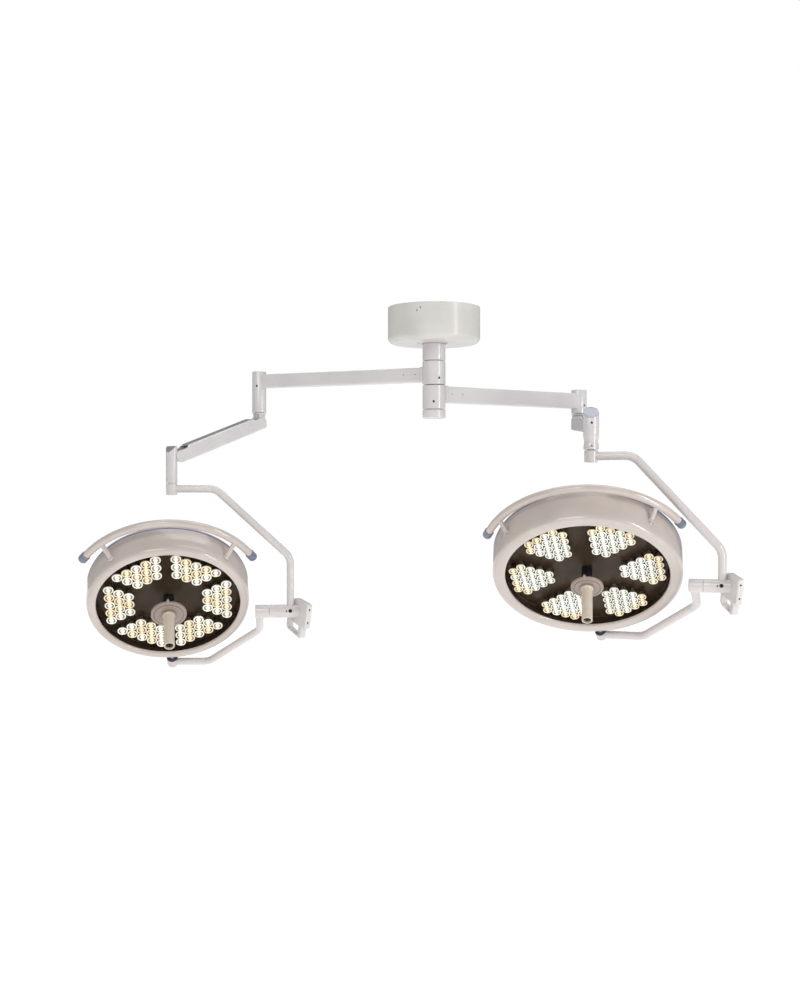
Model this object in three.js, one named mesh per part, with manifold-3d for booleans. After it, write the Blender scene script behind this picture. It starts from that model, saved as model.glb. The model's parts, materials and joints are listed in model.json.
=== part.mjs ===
// Ceiling-mounted double surgical light.
//
// Millimetres, +Z up. The origin is the centre of the ceiling plate's top face, on the column axis.
// Two lamps hang from one column. Each lamp is a chain of nested groups, one for each pivot, and each
// group's rotation is the angle at which that pivot rests.

import * as THREE from 'three';
import { mergeVertices } from 'three/addons/utils/BufferGeometryUtils.js';
import Module from 'manifold-3d';

const wasm = await Module();
wasm.setup();

// ---------------------------------------------------------------- driving dimensions

const GAP = 0.3; // clearance left between pieces that touch

const PLATE = { radius: 150, thickness: 10, boltCircle: 120, boltRadius: 5.5, bolts: 6 };
const CANOPY = { radius: 175, top: -3, bottom: -140, wall: 3, edge: 22 };
const COLUMN = { radius: 43.5, tubeBottom: -205, capTop: -390, bottom: -422, spindle: 26, bore: 36 };
const REAR_PIVOT_Z = -421; // height of the spring arms' rear pivots
const KNUCKLE_BOTTOM = -381;
const SPRING_ARM = { length: 500, reach: 24, rodOffset: 15, rodRadius: 4, wall: 2.5 };
const STUB = { radius: 24.5, seam: 0.6, collar: 52 };
const HANDLE = { flangeThickness: 11, standOff: 30, grip: 19.5, bore: 15 };
const COLLAR_HALF = 21; // half the height of the collar that turns under the link
const HEAD_SEGMENTS = 28; // facets round every piece of a head, in step with each other

const LAMPS = [
  {
    name: 'left',
    collar: [-205.3, -296.8],
    arm: { yaw: 156.8, length: 757, z: -257, height: 55, width: 38 },
    knuckle: { radius: 28, top: -217 },
    spring: { heading: -124.1, pitch: -17.3, height: 56, width: 44 },
    link: { drop: 122, width: 42, top: 24, collar: 20.5, capHeight: 13, capSlope: 12 },
    yoke: { yaw: 6, reach: 439.5, drop: 457.6, elbow: [161, 256], tube: 14, bend: 62 },
    head: { radius: 300, opening: 265.5, behindAxis: 26, axisReach: 452.6, wall: 108, roll: -47.1, turn: -3.6 },
    rail: { radius: 355, tube: 14, behind: 80, span: [31, 143], posts: [44, 130] },
    handle: { flange: 66, length: 146 },
    pods: { rows: [3, 4, 5], pitch: 41, first: 144 },
  },
  {
    name: 'right',
    collar: [-297.2, -389.7],
    arm: { yaw: 31.5, length: 704, z: -331, height: 62, width: 42 },
    knuckle: { radius: 31, top: -285 },
    spring: { heading: -92.8, pitch: -3.6, height: 58, width: 60 },
    link: { drop: 119, width: 58, top: 38, collar: 25, capHeight: 29, capSlope: 34 },
    yoke: { yaw: -18.9, reach: 472, drop: 469.4, elbow: [155, 342], tube: 15.5, bend: 70 },
    head: { radius: 350, opening: 302.5, behindAxis: 19, axisReach: 491.2, wall: 122, roll: -40, turn: -7.2 },
    rail: { radius: 387, tube: 14.5, behind: 108, span: [24.5, 149], posts: [42, 137] },
    handle: { flange: 60, length: 146 },
    pods: { rows: [2, 3, 4, 5, 4], pitch: 37, first: 139 },
  },
];

// ---------------------------------------------------------------- materials

const paint = (color, roughness = 0.32, metalness = 0) =>
  new THREE.MeshStandardMaterial({ color, roughness, metalness });

const MATERIAL = {
  enamel: paint('#ece6e4'),
  headEnamel: paint('#eae2dd', 0.22),
  steel: paint('#a9acb0', 0.35, 0.9),
  seal: paint('#5d5f94', 0.45),
  cap: paint('#9aa3c6', 0.3),
  glass: paint('#16120f', 0.08),
  lens: paint('#f4ecd8', 0.15),
  tray: paint('#2a2522', 0.5),
  grip: paint('#cfc3b8', 0.4),
  panel: paint('#d5d8dc', 0.4),
  button: paint('#8fa7b8', 0.4),
};

// ---------------------------------------------------------------- geometry helpers

const rad = THREE.MathUtils.degToRad;
const v2 = (x, y) => new THREE.Vector2(x, y);
const v3 = (x, y, z) => new THREE.Vector3(x, y, z);

/** Six times the signed volume that a triangle mesh encloses. */
function signedVolume(geometry) {
  const p = geometry.getAttribute('position');
  const index = geometry.getIndex().array;
  const [a, b, c] = [v3(), v3(), v3()];
  let sum = 0;
  for (let i = 0; i < index.length; i += 3) {
    a.fromBufferAttribute(p, index[i]);
    b.fromBufferAttribute(p, index[i + 1]);
    c.fromBufferAttribute(p, index[i + 2]);
    sum += a.dot(b.cross(c));
  }
  return sum;
}

/** Positions only, shared corners merged, empty triangles dropped and faces pointing out. */
function closed(geometry) {
  const bare = geometry.clone();
  bare.deleteAttribute('normal');
  bare.deleteAttribute('uv');
  const merged = mergeVertices(bare, 1e-4);
  const old = merged.getIndex().array;
  const kept = [];
  for (let i = 0; i < old.length; i += 3) {
    const [a, b, c] = [old[i], old[i + 1], old[i + 2]];
    if (a !== b && b !== c && c !== a) kept.push(a, b, c);
  }
  merged.setIndex(kept);
  if (signedVolume(merged) < 0) merged.setIndex([...kept].reverse());
  return merged;
}

function toSolid(geometry) {
  const g = closed(geometry);
  return new wasm.Manifold(new wasm.Mesh({
    numProp: 3,
    vertProperties: new Float32Array(g.getAttribute('position').array),
    triVerts: new Uint32Array(g.getIndex().array),
  }));
}

function toGeometry(solid) {
  const mesh = solid.getMesh();
  const geometry = new THREE.BufferGeometry();
  geometry.setAttribute('position', new THREE.BufferAttribute(mesh.vertProperties, 3));
  geometry.setIndex(new THREE.BufferAttribute(mesh.triVerts, 1));
  geometry.computeVertexNormals();
  return geometry;
}

/** Joins the first list of geometries and cuts the second list away. */
function shape(joined, cuts = []) {
  let solid = toSolid(joined[0]);
  for (const part of joined.slice(1)) solid = solid.add(toSolid(part));
  for (const tool of cuts) solid = solid.subtract(toSolid(tool));
  return toGeometry(solid);
}

/** A solid of revolution about Z from [radius, z] points. */
function turned(points, segments = 16) {
  return closed(new THREE.LatheGeometry(points.map(([r, z]) => v2(r, z)), segments).rotateX(Math.PI / 2));
}

/** A solid disc or rod about Z, with a small chamfer at each end. */
function rod(radius, bottom, top, chamfer = 0, segments = 16) {
  const c = chamfer;
  const profile = c > 0
    ? [[0, bottom], [radius - c, bottom], [radius, bottom + c], [radius, top - c], [radius - c, top], [0, top]]
    : [[0, bottom], [radius, bottom], [radius, top], [0, top]];
  return turned(profile, segments);
}

/** A ring about Z with a square section. */
function ring(inner, outer, bottom, top, segments = 16) {
  return turned([[inner, bottom], [outer, bottom], [outer, top], [inner, top], [inner, bottom]], segments);
}

const alongX = (geometry) => geometry.rotateY(Math.PI / 2);
const alongY = (geometry) => geometry.rotateX(-Math.PI / 2);

/** A rectangle with rounded corners, centred on (0, 0). */
function roundedRectangle(width, height, radius, target = new THREE.Shape()) {
  const [x, y] = [width / 2, height / 2];
  target.moveTo(x - radius, -y);
  target.absarc(x - radius, -y + radius, radius, -Math.PI / 2, 0);
  target.absarc(x - radius, y - radius, radius, 0, Math.PI / 2);
  target.absarc(-x + radius, y - radius, radius, Math.PI / 2, Math.PI);
  target.absarc(-x + radius, -y + radius, radius, Math.PI, Math.PI * 1.5);
  target.closePath();
  return target;
}

/** A bar along +X from x0 to x1; its section is width (Y) by height (Z), with rounded corners. */
function bar(width, height, radius, x0, x1, hollowWall = 0) {
  const section = roundedRectangle(width, height, radius);
  if (hollowWall > 0) {
    const w = 2 * hollowWall;
    section.holes.push(roundedRectangle(width - w, height - w, radius - hollowWall / 2, new THREE.Path()));
  }
  const depth = x1 - x0;
  const geometry = new THREE.ExtrudeGeometry(section, { depth, bevelEnabled: false, curveSegments: 2 });
  return geometry.rotateX(Math.PI / 2).rotateZ(Math.PI / 2).translate(x0, 0, 0);
}

/** An upright block: a rounded rectangle of x by y, from bottom to top. */
function block(x, y, radius, bottom, top) {
  const section = roundedRectangle(x, y, radius);
  const options = { depth: top - bottom, bevelEnabled: false, curveSegments: 2 };
  return new THREE.ExtrudeGeometry(section, options).translate(0, 0, bottom);
}

/** A polyline with round bends; straight runs take one step and each bend takes a few. */
class BentPath extends THREE.Curve {
  constructor(corners, bendRadius, bendSteps = 3) {
    super();
    this.stations = [];
    const last = corners.length - 1;
    const push = (point, tangent) => this.stations.push({ point, tangent });
    const direction = (i) => corners[i + 1].clone().sub(corners[i]).normalize();
    push(corners[0].clone(), direction(0));
    for (let i = 1; i < last; i++) {
      const [into, out] = [direction(i - 1), direction(i)];
      const angle = into.angleTo(out);
      const reach = bendRadius * Math.tan(angle / 2);
      const start = corners[i].clone().addScaledVector(into, -reach);
      const inward = out.clone().addScaledVector(into, -out.dot(into)).normalize();
      for (let k = 0; k <= bendSteps; k++) {
        const a = (angle * k) / bendSteps;
        const point = start.clone()
          .addScaledVector(into, bendRadius * Math.sin(a))
          .addScaledVector(inward, bendRadius * (1 - Math.cos(a)));
        push(point, into.clone().multiplyScalar(Math.cos(a)).addScaledVector(inward, Math.sin(a)));
      }
    }
    push(corners[last].clone(), direction(last - 1));
    this.steps = this.stations.length - 1;
  }

  getPoint(t, target = v3()) {
    const s = t * this.steps;
    const i = Math.min(Math.floor(s + 1e-9), this.steps - 1);
    return target.lerpVectors(this.stations[i].point, this.stations[i + 1].point, s - i);
  }

  getPointAt(u, target) {
    return this.getPoint(u, target);
  }

  getTangentAt(u, target = v3()) {
    return target.copy(this.stations[Math.round(u * this.steps)].tangent);
  }
}

/** A solid round bar swept along a path that has its own steps. */
function swept(path, radius, sides = 8) {
  const section = new THREE.Shape().absarc(0, 0, radius, 0, Math.PI * 2);
  const options = { steps: path.steps, extrudePath: path, curveSegments: sides };
  return new THREE.ExtrudeGeometry(section, options);
}

function addPiece(parent, name, geometry, material) {
  const mesh = new THREE.Mesh(geometry, material);
  mesh.name = name;
  parent.add(mesh);
  return mesh;
}

function addGroup(parent, position, rotation) {
  const group = new THREE.Group();
  group.position.copy(position);
  group.rotation.copy(rotation);
  parent.add(group);
  return group;
}

const noTurn = new THREE.Euler();
const aboutX = (degrees) => new THREE.Euler(rad(degrees), 0, 0);
const aboutY = (degrees) => new THREE.Euler(0, rad(degrees), 0);
const aboutZ = (degrees) => new THREE.Euler(0, 0, rad(degrees));

// ---------------------------------------------------------------- ceiling mount and column

function addColumn(parent) {
  const { radius, tubeBottom, capTop, bottom, spindle, bore } = COLUMN;
  const boltHoles = [];
  for (let i = 0; i < PLATE.bolts; i++) {
    const a = (i + 0.5) * (Math.PI * 2 / PLATE.bolts);
    const hole = rod(PLATE.boltRadius, -PLATE.thickness - 5, 5, 0, 8);
    boltHoles.push(hole.translate(PLATE.boltCircle * Math.cos(a), PLATE.boltCircle * Math.sin(a), 0));
  }
  const plate = rod(PLATE.radius, -PLATE.thickness, 0, 0, 24);
  addPiece(parent, 'ceiling_plate', shape([plate], boltHoles), MATERIAL.steel);

  const { radius: R, top, bottom: floor, wall, edge } = CANOPY;
  const outer = [];
  const inner = [];
  for (let k = 0; k <= 3; k++) {
    const a = (Math.PI / 2) * (k / 3);
    outer.push([R - edge + edge * Math.sin(a), floor + edge - edge * Math.cos(a)]);
    inner.push([R - edge + (edge - wall) * Math.sin(a), floor + edge - (edge - wall) * Math.cos(a)]);
  }
  const hole = radius + 1;
  const profile = [[hole, floor], ...outer, [R, top], [R - wall, top], ...inner.reverse(),
    [hole, floor + wall], [hole, floor]];
  addPiece(parent, 'canopy_cover', turned(profile, 28), MATERIAL.enamel);

  const flangeTop = -PLATE.thickness - GAP;
  const flangeRadius = 84;
  const tube = [[bore, tubeBottom], [radius, tubeBottom], [radius, flangeTop - 12],
    [flangeRadius, flangeTop - 12], [flangeRadius, flangeTop], [bore, flangeTop], [bore, tubeBottom]];
  addPiece(parent, 'drop_tube', turned(tube, 20), MATERIAL.enamel);

  const plug = bore - GAP;
  const shaft = [[0, bottom], [radius - 4, bottom], [radius, bottom + 4], [radius, capTop], [spindle, capTop],
    [spindle, tubeBottom - GAP], [plug, tubeBottom - GAP], [plug, tubeBottom + 60], [0, tubeBottom + 60]];
  addPiece(parent, 'column_spindle', turned(shaft, 20), MATERIAL.enamel);
}

// ---------------------------------------------------------------- horizontal arm

function addArm(parent, lamp) {
  const { arm, knuckle, collar } = lamp;
  const hub = ring(COLUMN.spindle + GAP * 2, COLUMN.radius, collar[1], collar[0], 20);
  addPiece(parent, `${lamp.name}_arm_collar`, hub, MATERIAL.enamel);

  const beam = bar(arm.width, arm.height, 6, 30, arm.length - 10).translate(0, 0, arm.z);
  const hubCut = rod(COLUMN.radius + GAP, -600, 0, 0, 20);
  const knuckleCut = rod(knuckle.radius + GAP, -600, 0).translate(arm.length, 0, 0);
  addPiece(parent, `${lamp.name}_arm_beam`, shape([beam], [hubCut, knuckleCut]), MATERIAL.enamel);

  const pinBore = 14.6;
  const housing = turned([[0, knuckle.top], [knuckle.radius - 3, knuckle.top],
    [knuckle.radius, knuckle.top - 3], [knuckle.radius, KNUCKLE_BOTTOM], [pinBore, KNUCKLE_BOTTOM],
    [pinBore, KNUCKLE_BOTTOM + 70], [0, KNUCKLE_BOTTOM + 70]]).translate(arm.length, 0, 0);
  addPiece(parent, `${lamp.name}_knuckle`, housing, MATERIAL.enamel);
}

// ---------------------------------------------------------------- spring arm

const CHEEK = 20; // radius of the casing's cheeks round each pivot
const LUG = 17; // radius of the lugs that the cheeks embrace
const lugWidth = (lamp) => lamp.spring.width - 2 * SPRING_ARM.wall - 1.2;

/** The slot in a lug that the tie rod's eye turns in, open towards the arm and downwards. */
function rodSlot(towardsArm) {
  return new THREE.BoxGeometry(70, 11, 60).translate(towardsArm * 26, 0, -18);
}

/** The swivel block under the knuckle: pin, round head and the lug of the rear pivot. */
function addRearBlock(parent, lamp) {
  const top = KNUCKLE_BOTTOM - 0.6 - REAR_PIVOT_Z;
  const head = rod(lamp.knuckle.radius, top - 4, top);
  const pin = rod(14, top - 2, top + 60, 0, 14);
  const web = block(2 * LUG, lugWidth(lamp), 3, 0, top - 2);
  const lug = alongY(rod(LUG, -lugWidth(lamp) / 2, lugWidth(lamp) / 2, 0, 18));
  addPiece(parent, `${lamp.name}_rear_block`, shape([head, pin, web, lug], [rodSlot(1)]), MATERIAL.enamel);
}

/** The hollow casing; its side walls run on past the ends as cheeks round both pivots. */
function addSpringCasing(parent, lamp) {
  const { height, width } = lamp.spring;
  const { length, wall } = SPRING_ARM;
  const [low, neck, shoulder] = [-height / 2, 44, 58];
  const side = new THREE.Shape();
  side.absarc(0, 0, CHEEK, Math.PI / 2, Math.PI * 1.5);
  side.lineTo(neck, low);
  side.lineTo(length - neck, low);
  side.absarc(length, 0, CHEEK, -Math.PI / 2, Math.PI / 2);
  side.lineTo(length - neck, CHEEK);
  side.lineTo(length - shoulder, height / 2);
  side.lineTo(shoulder, height / 2);
  side.lineTo(neck, CHEEK);
  side.closePath();
  const profile = new THREE.ExtrudeGeometry(side, { depth: width + 4, bevelEnabled: false, curveSegments: 6 })
    .translate(0, 0, -width / 2 - 2).rotateX(Math.PI / 2);
  const tube = bar(width, height, 7, -CHEEK - 5, length + CHEEK + 5, wall);
  const slotWidth = width - 2 * wall;
  const slot = new THREE.BoxGeometry(shoulder + CHEEK + 10, slotWidth, height + 10);
  const reach = (shoulder + CHEEK + 10) / 2 - CHEEK - 10;
  let solid = toSolid(tube).intersect(toSolid(profile));
  solid = solid.subtract(toSolid(slot.clone().translate(reach, 0, 0)));
  solid = solid.subtract(toSolid(slot.clone().translate(length - reach, 0, 0)));
  addPiece(parent, `${lamp.name}_spring_casing`, toGeometry(solid), MATERIAL.enamel);
}

/** The compression spring, drawn as a grooved sleeve. */
function addBalanceSpring(parent, lamp) {
  const [start, end, coils, outer, inner] = [80, SPRING_ARM.length - 80, 9, 10, 7.5];
  const pitch = (end - start) / coils;
  const profile = [[0, start]];
  for (let i = 0; i < coils; i++) {
    profile.push([inner, start + i * pitch], [outer, start + (i + 0.5) * pitch]);
  }
  profile.push([inner, end], [0, end]);
  addPiece(parent, `${lamp.name}_balance_spring`, alongX(turned(profile, 8)).translate(0, 0, 12), MATERIAL.steel);
}

function addTieRod(parent, lamp) {
  const { length, rodRadius } = SPRING_ARM;
  const shaft = alongX(rod(rodRadius, 0, length, 0, 10));
  const eye = alongY(rod(7, -4, 4, 0, 14));
  const rodShape = shape([shaft, eye, eye.clone().translate(length, 0, 0)]);
  addPiece(parent, `${lamp.name}_tie_rod`, rodShape, MATERIAL.steel);
}

/** The upright link at the spring arm's front pivot, and its sloping cap. */
function addLink(parent, lamp) {
  const { link } = lamp;
  const axis = SPRING_ARM.reach;
  const radius = link.width / 2;
  const bottom = -link.drop + COLLAR_HALF + 0.6;
  const waist = link.collar + 0.5;
  const bore = 12.8;
  const column = turned([[0, link.top], [radius, link.top], [radius, -46], [waist, -64], [waist, bottom],
    [bore, bottom], [bore, bottom + 44], [0, bottom + 44]]).translate(axis, 0, 0);
  const lug = alongY(rod(LUG, -lugWidth(lamp) / 2, lugWidth(lamp) / 2, 0, 18));
  const bridge = block(axis, lugWidth(lamp), 1, -LUG + 0.5, LUG - 0.5).translate(axis / 2, 0, 0);
  const cheekRoom = 26;
  const sideCut = (side) => new THREE.BoxGeometry(80, 40, link.top + cheekRoom + 40)
    .translate(CHEEK + 2 - 40, side * (lugWidth(lamp) / 2 + 20), (link.top + 40 - cheekRoom) / 2);
  const solid = shape([column, lug, bridge], [sideCut(1), sideCut(-1), rodSlot(-1)]);
  addPiece(parent, `${lamp.name}_front_block`, solid, MATERIAL.enamel);

  const capHeight = link.capHeight;
  const cap = rod(radius, link.top + GAP, link.top + capHeight).translate(axis, 0, 0);
  const slope = new THREE.BoxGeometry(160, 100, 80).translate(0, 0, 40).rotateY(rad(link.capSlope))
    .translate(axis + radius * 0.2, 0, link.top + capHeight * 0.62);
  const sides = (side) => new THREE.BoxGeometry(80, 40, 200)
    .translate(CHEEK + 2 - 40, side * (lugWidth(lamp) / 2 + 20), 0);
  addPiece(parent, `${lamp.name}_front_cap`, shape([cap], [slope, sides(1), sides(-1)]), MATERIAL.cap);
}

// ---------------------------------------------------------------- yoke and control box

const BOX = { offset: 35, yaw: 30, roll: 13, thickness: 24 };

/** The corners of the control box's plate and of its hand loop's window: [towards the near side, up]. */
const BOX_OUTLINE = [[-31, 40], [-26, 44], [60, 44], [65, 39], [65, -49], [42, -49], [42, -91], [34, -96],
  [-50, -86], [-65, -76], [-65, -20], [-31, -16]];
const BOX_WINDOW = [[-50, -50], [0, -52], [0, -84], [-50, -74]];

/** A plate from an outline of [towards -Y, up], thickness deep, with its outer face at x = outerFace. */
function plateFacingX(outline, outerFace, thickness) {
  const section = new THREE.Shape(outline.map(([a, b]) => v2(a, b)));
  const geometry = new THREE.ExtrudeGeometry(section, { depth: thickness, bevelEnabled: false });
  return geometry.rotateX(Math.PI / 2).rotateZ(-Math.PI / 2).translate(outerFace, 0, 0);
}

function addYoke(parent, lamp) {
  const { yoke, link, head } = lamp;
  const stubZ = -yoke.drop;
  const corners = [v3(0, 0, 0), v3(yoke.elbow[0], 0, 0), v3(yoke.reach, 0, -yoke.elbow[1]),
    v3(yoke.reach, 0, stubZ)];
  const tube = swept(new BentPath(corners, yoke.bend), yoke.tube);
  const collar = rod(link.collar, -COLLAR_HALF - 2, COLLAR_HALF);
  const pin = rod(12, 0, COLLAR_HALF + 42, 0, 14);
  const inner = yoke.reach - head.axisReach + stubInnerEnd(lamp);
  const seam = inner + STUB.collar;
  const place = (g) => alongX(g).translate(0, 0, stubZ);
  const stubRoom = place(rod(STUB.radius + GAP, seam - 10, yoke.reach + 60));
  addPiece(parent, `${lamp.name}_yoke_tube`, shape([tube, collar, pin], [stubRoom]), MATERIAL.enamel);

  const boxFrame = addGroup(parent, v3(yoke.reach + BOX.offset, 0, stubZ), aboutZ(BOX.yaw));
  const slab = new THREE.BoxGeometry(200, 400, 400)
    .translate(100 - BOX.thickness / 2 - GAP, 0, 0).rotateZ(rad(BOX.yaw))
    .translate(yoke.reach + BOX.offset, 0, stubZ);
  const housing = place(rod(STUB.radius, seam + STUB.seam, yoke.reach + 70));
  const bore = place(rod(12.8, seam - 10, seam + 44, 0, 14));
  addPiece(parent, `${lamp.name}_stub_housing`, shape([housing], [bore, slab]), MATERIAL.enamel);

  const tilted = addGroup(boxFrame, v3(0, 0, 0), aboutX(BOX.roll));
  const face = BOX.thickness / 2;
  const plate = plateFacingX(BOX_OUTLINE, face, BOX.thickness);
  const window = plateFacingX(BOX_WINDOW, face + 5, BOX.thickness + 10);
  addPiece(tilted, `${lamp.name}_control_box`, shape([plate], [window]), MATERIAL.enamel);

  const keypad = [[-22, -36], [54, -36], [54, 34], [-22, 34]];
  const buttonPlaces = [[0, 4], [32, 4]];
  const buttonRadius = 8;
  const holes = buttonPlaces.map(([a, b]) =>
    alongX(rod(buttonRadius + 0.6, face - 5, face + 10, 0, 14)).translate(0, -a, b));
  const panel = shape([plateFacingX(keypad, face + GAP + 2.2, 2.2)], holes);
  addPiece(tilted, `${lamp.name}_keypad_panel`, panel, MATERIAL.panel);
  ['power_button', 'dimmer_button'].forEach((name, i) => {
    const [a, b] = buttonPlaces[i];
    const button = alongX(rod(buttonRadius, face + 1.8, face + 5.2, 0, 14)).translate(0, -a, b);
    addPiece(tilted, `${lamp.name}_${name}`, button, MATERIAL.button);
  });
}

// ---------------------------------------------------------------- bow

const PIVOT = { behind: 14, block: 21, seal: 3, length: 46, pin: 7 };
const stubInnerEnd = (lamp) => lamp.head.radius + 21.5 + (lamp.head.radius > 320 ? 2 : 0);

/** The bent tube from the stub to the pivot under the head's rim. */
function addBow(parent, lamp) {
  const { head, yoke } = lamp;
  const R = head.radius;
  const inner = stubInnerEnd(lamp);
  const pivotZ = head.behindAxis + PIVOT.behind;
  const collar = alongX(rod(STUB.radius, inner, inner + STUB.collar));
  const pin = alongX(rod(12, inner + STUB.collar - 2, inner + STUB.collar + 42, 0, 14));
  const start = inner + yoke.tube + 3;
  const pivotY = R + PIVOT.length - 18;
  const corners = [v3(start, 0, 0), v3(start, R * 0.36, 6), v3(R * 0.47, pivotY - 4, pivotZ - 5),
    v3(0, pivotY, pivotZ)];
  const tube = swept(new BentPath(corners, yoke.bend * 0.9), yoke.tube);
  const blockRoom = alongY(rod(PIVOT.block + GAP, R - 20, R + 80)).translate(0, 0, pivotZ);
  addPiece(parent, `${lamp.name}_bow_tube`, shape([collar, pin, tube], [blockRoom]), MATERIAL.enamel);

  const low = R + PIVOT.seal;
  const knob = alongY(turned([[0, low], [PIVOT.block, low], [PIVOT.block, R + PIVOT.length - 6],
    [PIVOT.block - 6, R + PIVOT.length], [0, R + PIVOT.length]]));
  const axle = alongY(rod(PIVOT.pin, R - 14, low + 2, 0, 12));
  addPiece(parent, `${lamp.name}_pivot_block`, shape([knob, axle]).translate(0, 0, pivotZ), MATERIAL.enamel);
}

// ---------------------------------------------------------------- lamp head

/** One lens module's outline, pointing along +X: rows of lenses that widen away from the centre. */
function podOutline({ rows, pitch, first }) {
  const rowStep = pitch * 0.866;
  const upper = rows.map((count, i) => [first + i * rowStep, (count * pitch) / 2]);
  const start = [first - pitch / 2, (rows[0] * pitch) / 2 - 6];
  const end = [upper.at(-1)[0] + pitch / 2, upper.at(-1)[1] - 6];
  const half = [start, ...upper, end];
  return [...half, ...half.map(([x, y]) => [x, -y]).reverse()];
}

/** The strut between two points, as a round bar. */
function strut(from, to, radius) {
  const direction = to.clone().sub(from);
  const turn = new THREE.Quaternion().setFromUnitVectors(v3(0, 0, 1), direction.clone().normalize());
  return rod(radius, 0, direction.length(), 0, 10).applyQuaternion(turn).translate(from.x, from.y, from.z);
}

function addRail(parent, lamp) {
  const { rail, head } = lamp;
  const z = rail.behind;
  const at = (degrees, radius = rail.radius, height = z) =>
    v3(radius * Math.cos(rad(degrees)), -radius * Math.sin(rad(degrees)), height);
  const arc = new THREE.Curve();
  const [from, to] = rail.span;
  arc.getPoint = (t) => at(from + (to - from) * t);
  const section = new THREE.Shape().absarc(0, 0, rail.tube, 0, Math.PI * 2);
  const tube = new THREE.ExtrudeGeometry(section, { steps: 12, extrudePath: arc, curveSegments: 8 });
  const posts = rail.posts.map((a) => strut(at(a), at(a, head.radius - 12, rail.behind * 0.35), 8));
  const headRoom = rod(head.radius + GAP, 2, head.wall + 20, 0, HEAD_SEGMENTS);
  addPiece(parent, `${lamp.name}_handle_rail`, shape([tube, ...posts], [headRoom]), MATERIAL.headEnamel);

  const capLength = 34;
  [['outer', from, -1], ['inner', to, 1]].forEach(([side, degrees, way]) => {
    const point = at(degrees);
    const tangent = v3(-Math.sin(rad(degrees)), -Math.cos(rad(degrees)), 0).multiplyScalar(way);
    const begin = point.clone().addScaledVector(tangent, GAP);
    const turn = new THREE.Quaternion().setFromUnitVectors(v3(0, 0, 1), tangent);
    const cap = rod(rail.tube + 3, 0, capLength, 4, 14).applyQuaternion(turn);
    addPiece(parent, `${lamp.name}_rail_cap_${side}`, cap.translate(begin.x, begin.y, begin.z), MATERIAL.cap);
  });
}

function addHead(parent, lamp) {
  const { head, name } = lamp;
  const { radius: R, opening, wall } = head;
  const crest = (opening + R) / 2;
  const rim = turned([[opening, 9], [opening + 2, 4], [opening + 9, 1], [crest, 0], [R - 9, 2.5], [R - 3, 9],
    [R, 20], [R, wall], [R - 4, wall], [R - 4, 24], [R - 12, 12.5], [opening, 12.5], [opening, 9]], HEAD_SEGMENTS);
  const axleHole = alongY(rod(PIVOT.pin + 0.8, R - 30, R + 10, 0, 12)).translate(0, 0, PIVOT.behind);
  addPiece(parent, `${name}_front_ring`, shape([rim], [axleHole]), MATERIAL.headEnamel);

  const stem = 20;
  addPiece(parent, `${name}_glass_cover`, ring(stem + 1, opening + 6, 12.9, 16.9, HEAD_SEGMENTS), MATERIAL.glass);
  addPiece(parent, `${name}_led_tray`, ring(stem + 1, R - 8, 62, 66, HEAD_SEGMENTS), MATERIAL.tray);

  const outline = new THREE.Shape(podOutline(lamp.pods).map(([x, y]) => v2(x, y)));
  const pod = new THREE.ExtrudeGeometry(outline, { depth: 36, bevelEnabled: false }).translate(0, 0, 20);
  const pods = [0, 1, 2, 3, 4, 5].map((i) => pod.clone().rotateZ((i * Math.PI) / 3));
  const carrier = ring(60, lamp.pods.first + 40, 54, 61.6, 24);
  addPiece(parent, `${name}_led_modules`, shape([carrier, ...pods]), MATERIAL.lens);

  addPiece(parent, `${name}_gasket`, ring(R - 6, R + 0.5, wall + GAP, wall + 6, HEAD_SEGMENTS), MATERIAL.seal);
  const base = wall + 6 + GAP;
  const back = turned([[0, base + 50], [R * 0.35, base + 48.5], [R * 0.68, base + 42], [R - 24, base + 25],
    [R - 7, base + 8], [R - 4.5, base], [R - 0.5, base], [R - 3, base + 9], [R - 21, base + 28],
    [R * 0.69, base + 45], [R * 0.35, base + 51.5], [0, base + 53]], HEAD_SEGMENTS);
  addPiece(parent, `${name}_rear_cover`, back, MATERIAL.headEnamel);
  addRail(parent, lamp);

  const { flangeThickness, standOff, grip, bore } = HANDLE;
  const { flange, length } = lamp.handle;
  const front = -standOff - flangeThickness;
  const socket = turned([[0, front - 34], [bore - 0.8, front - 34], [bore - 0.8, front], [flange - 4, front],
    [flange, front + 4], [flange, -standOff - 1], [flange - 5, -standOff], [stem, -standOff], [stem, 61.4],
    [0, 61.4]], 20);
  addPiece(parent, `${name}_handle_socket`, socket, MATERIAL.grip);
  const top = front - 0.4;
  const end = front - length;
  const handle = turned([[bore, end], [grip, end], [grip, top - 12], [grip + 4, top - 6], [grip + 4, top],
    [bore, top], [bore, end]]);
  addPiece(parent, `${name}_sterile_handle`, handle, MATERIAL.grip);
}

// ---------------------------------------------------------------- assembly

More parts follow.
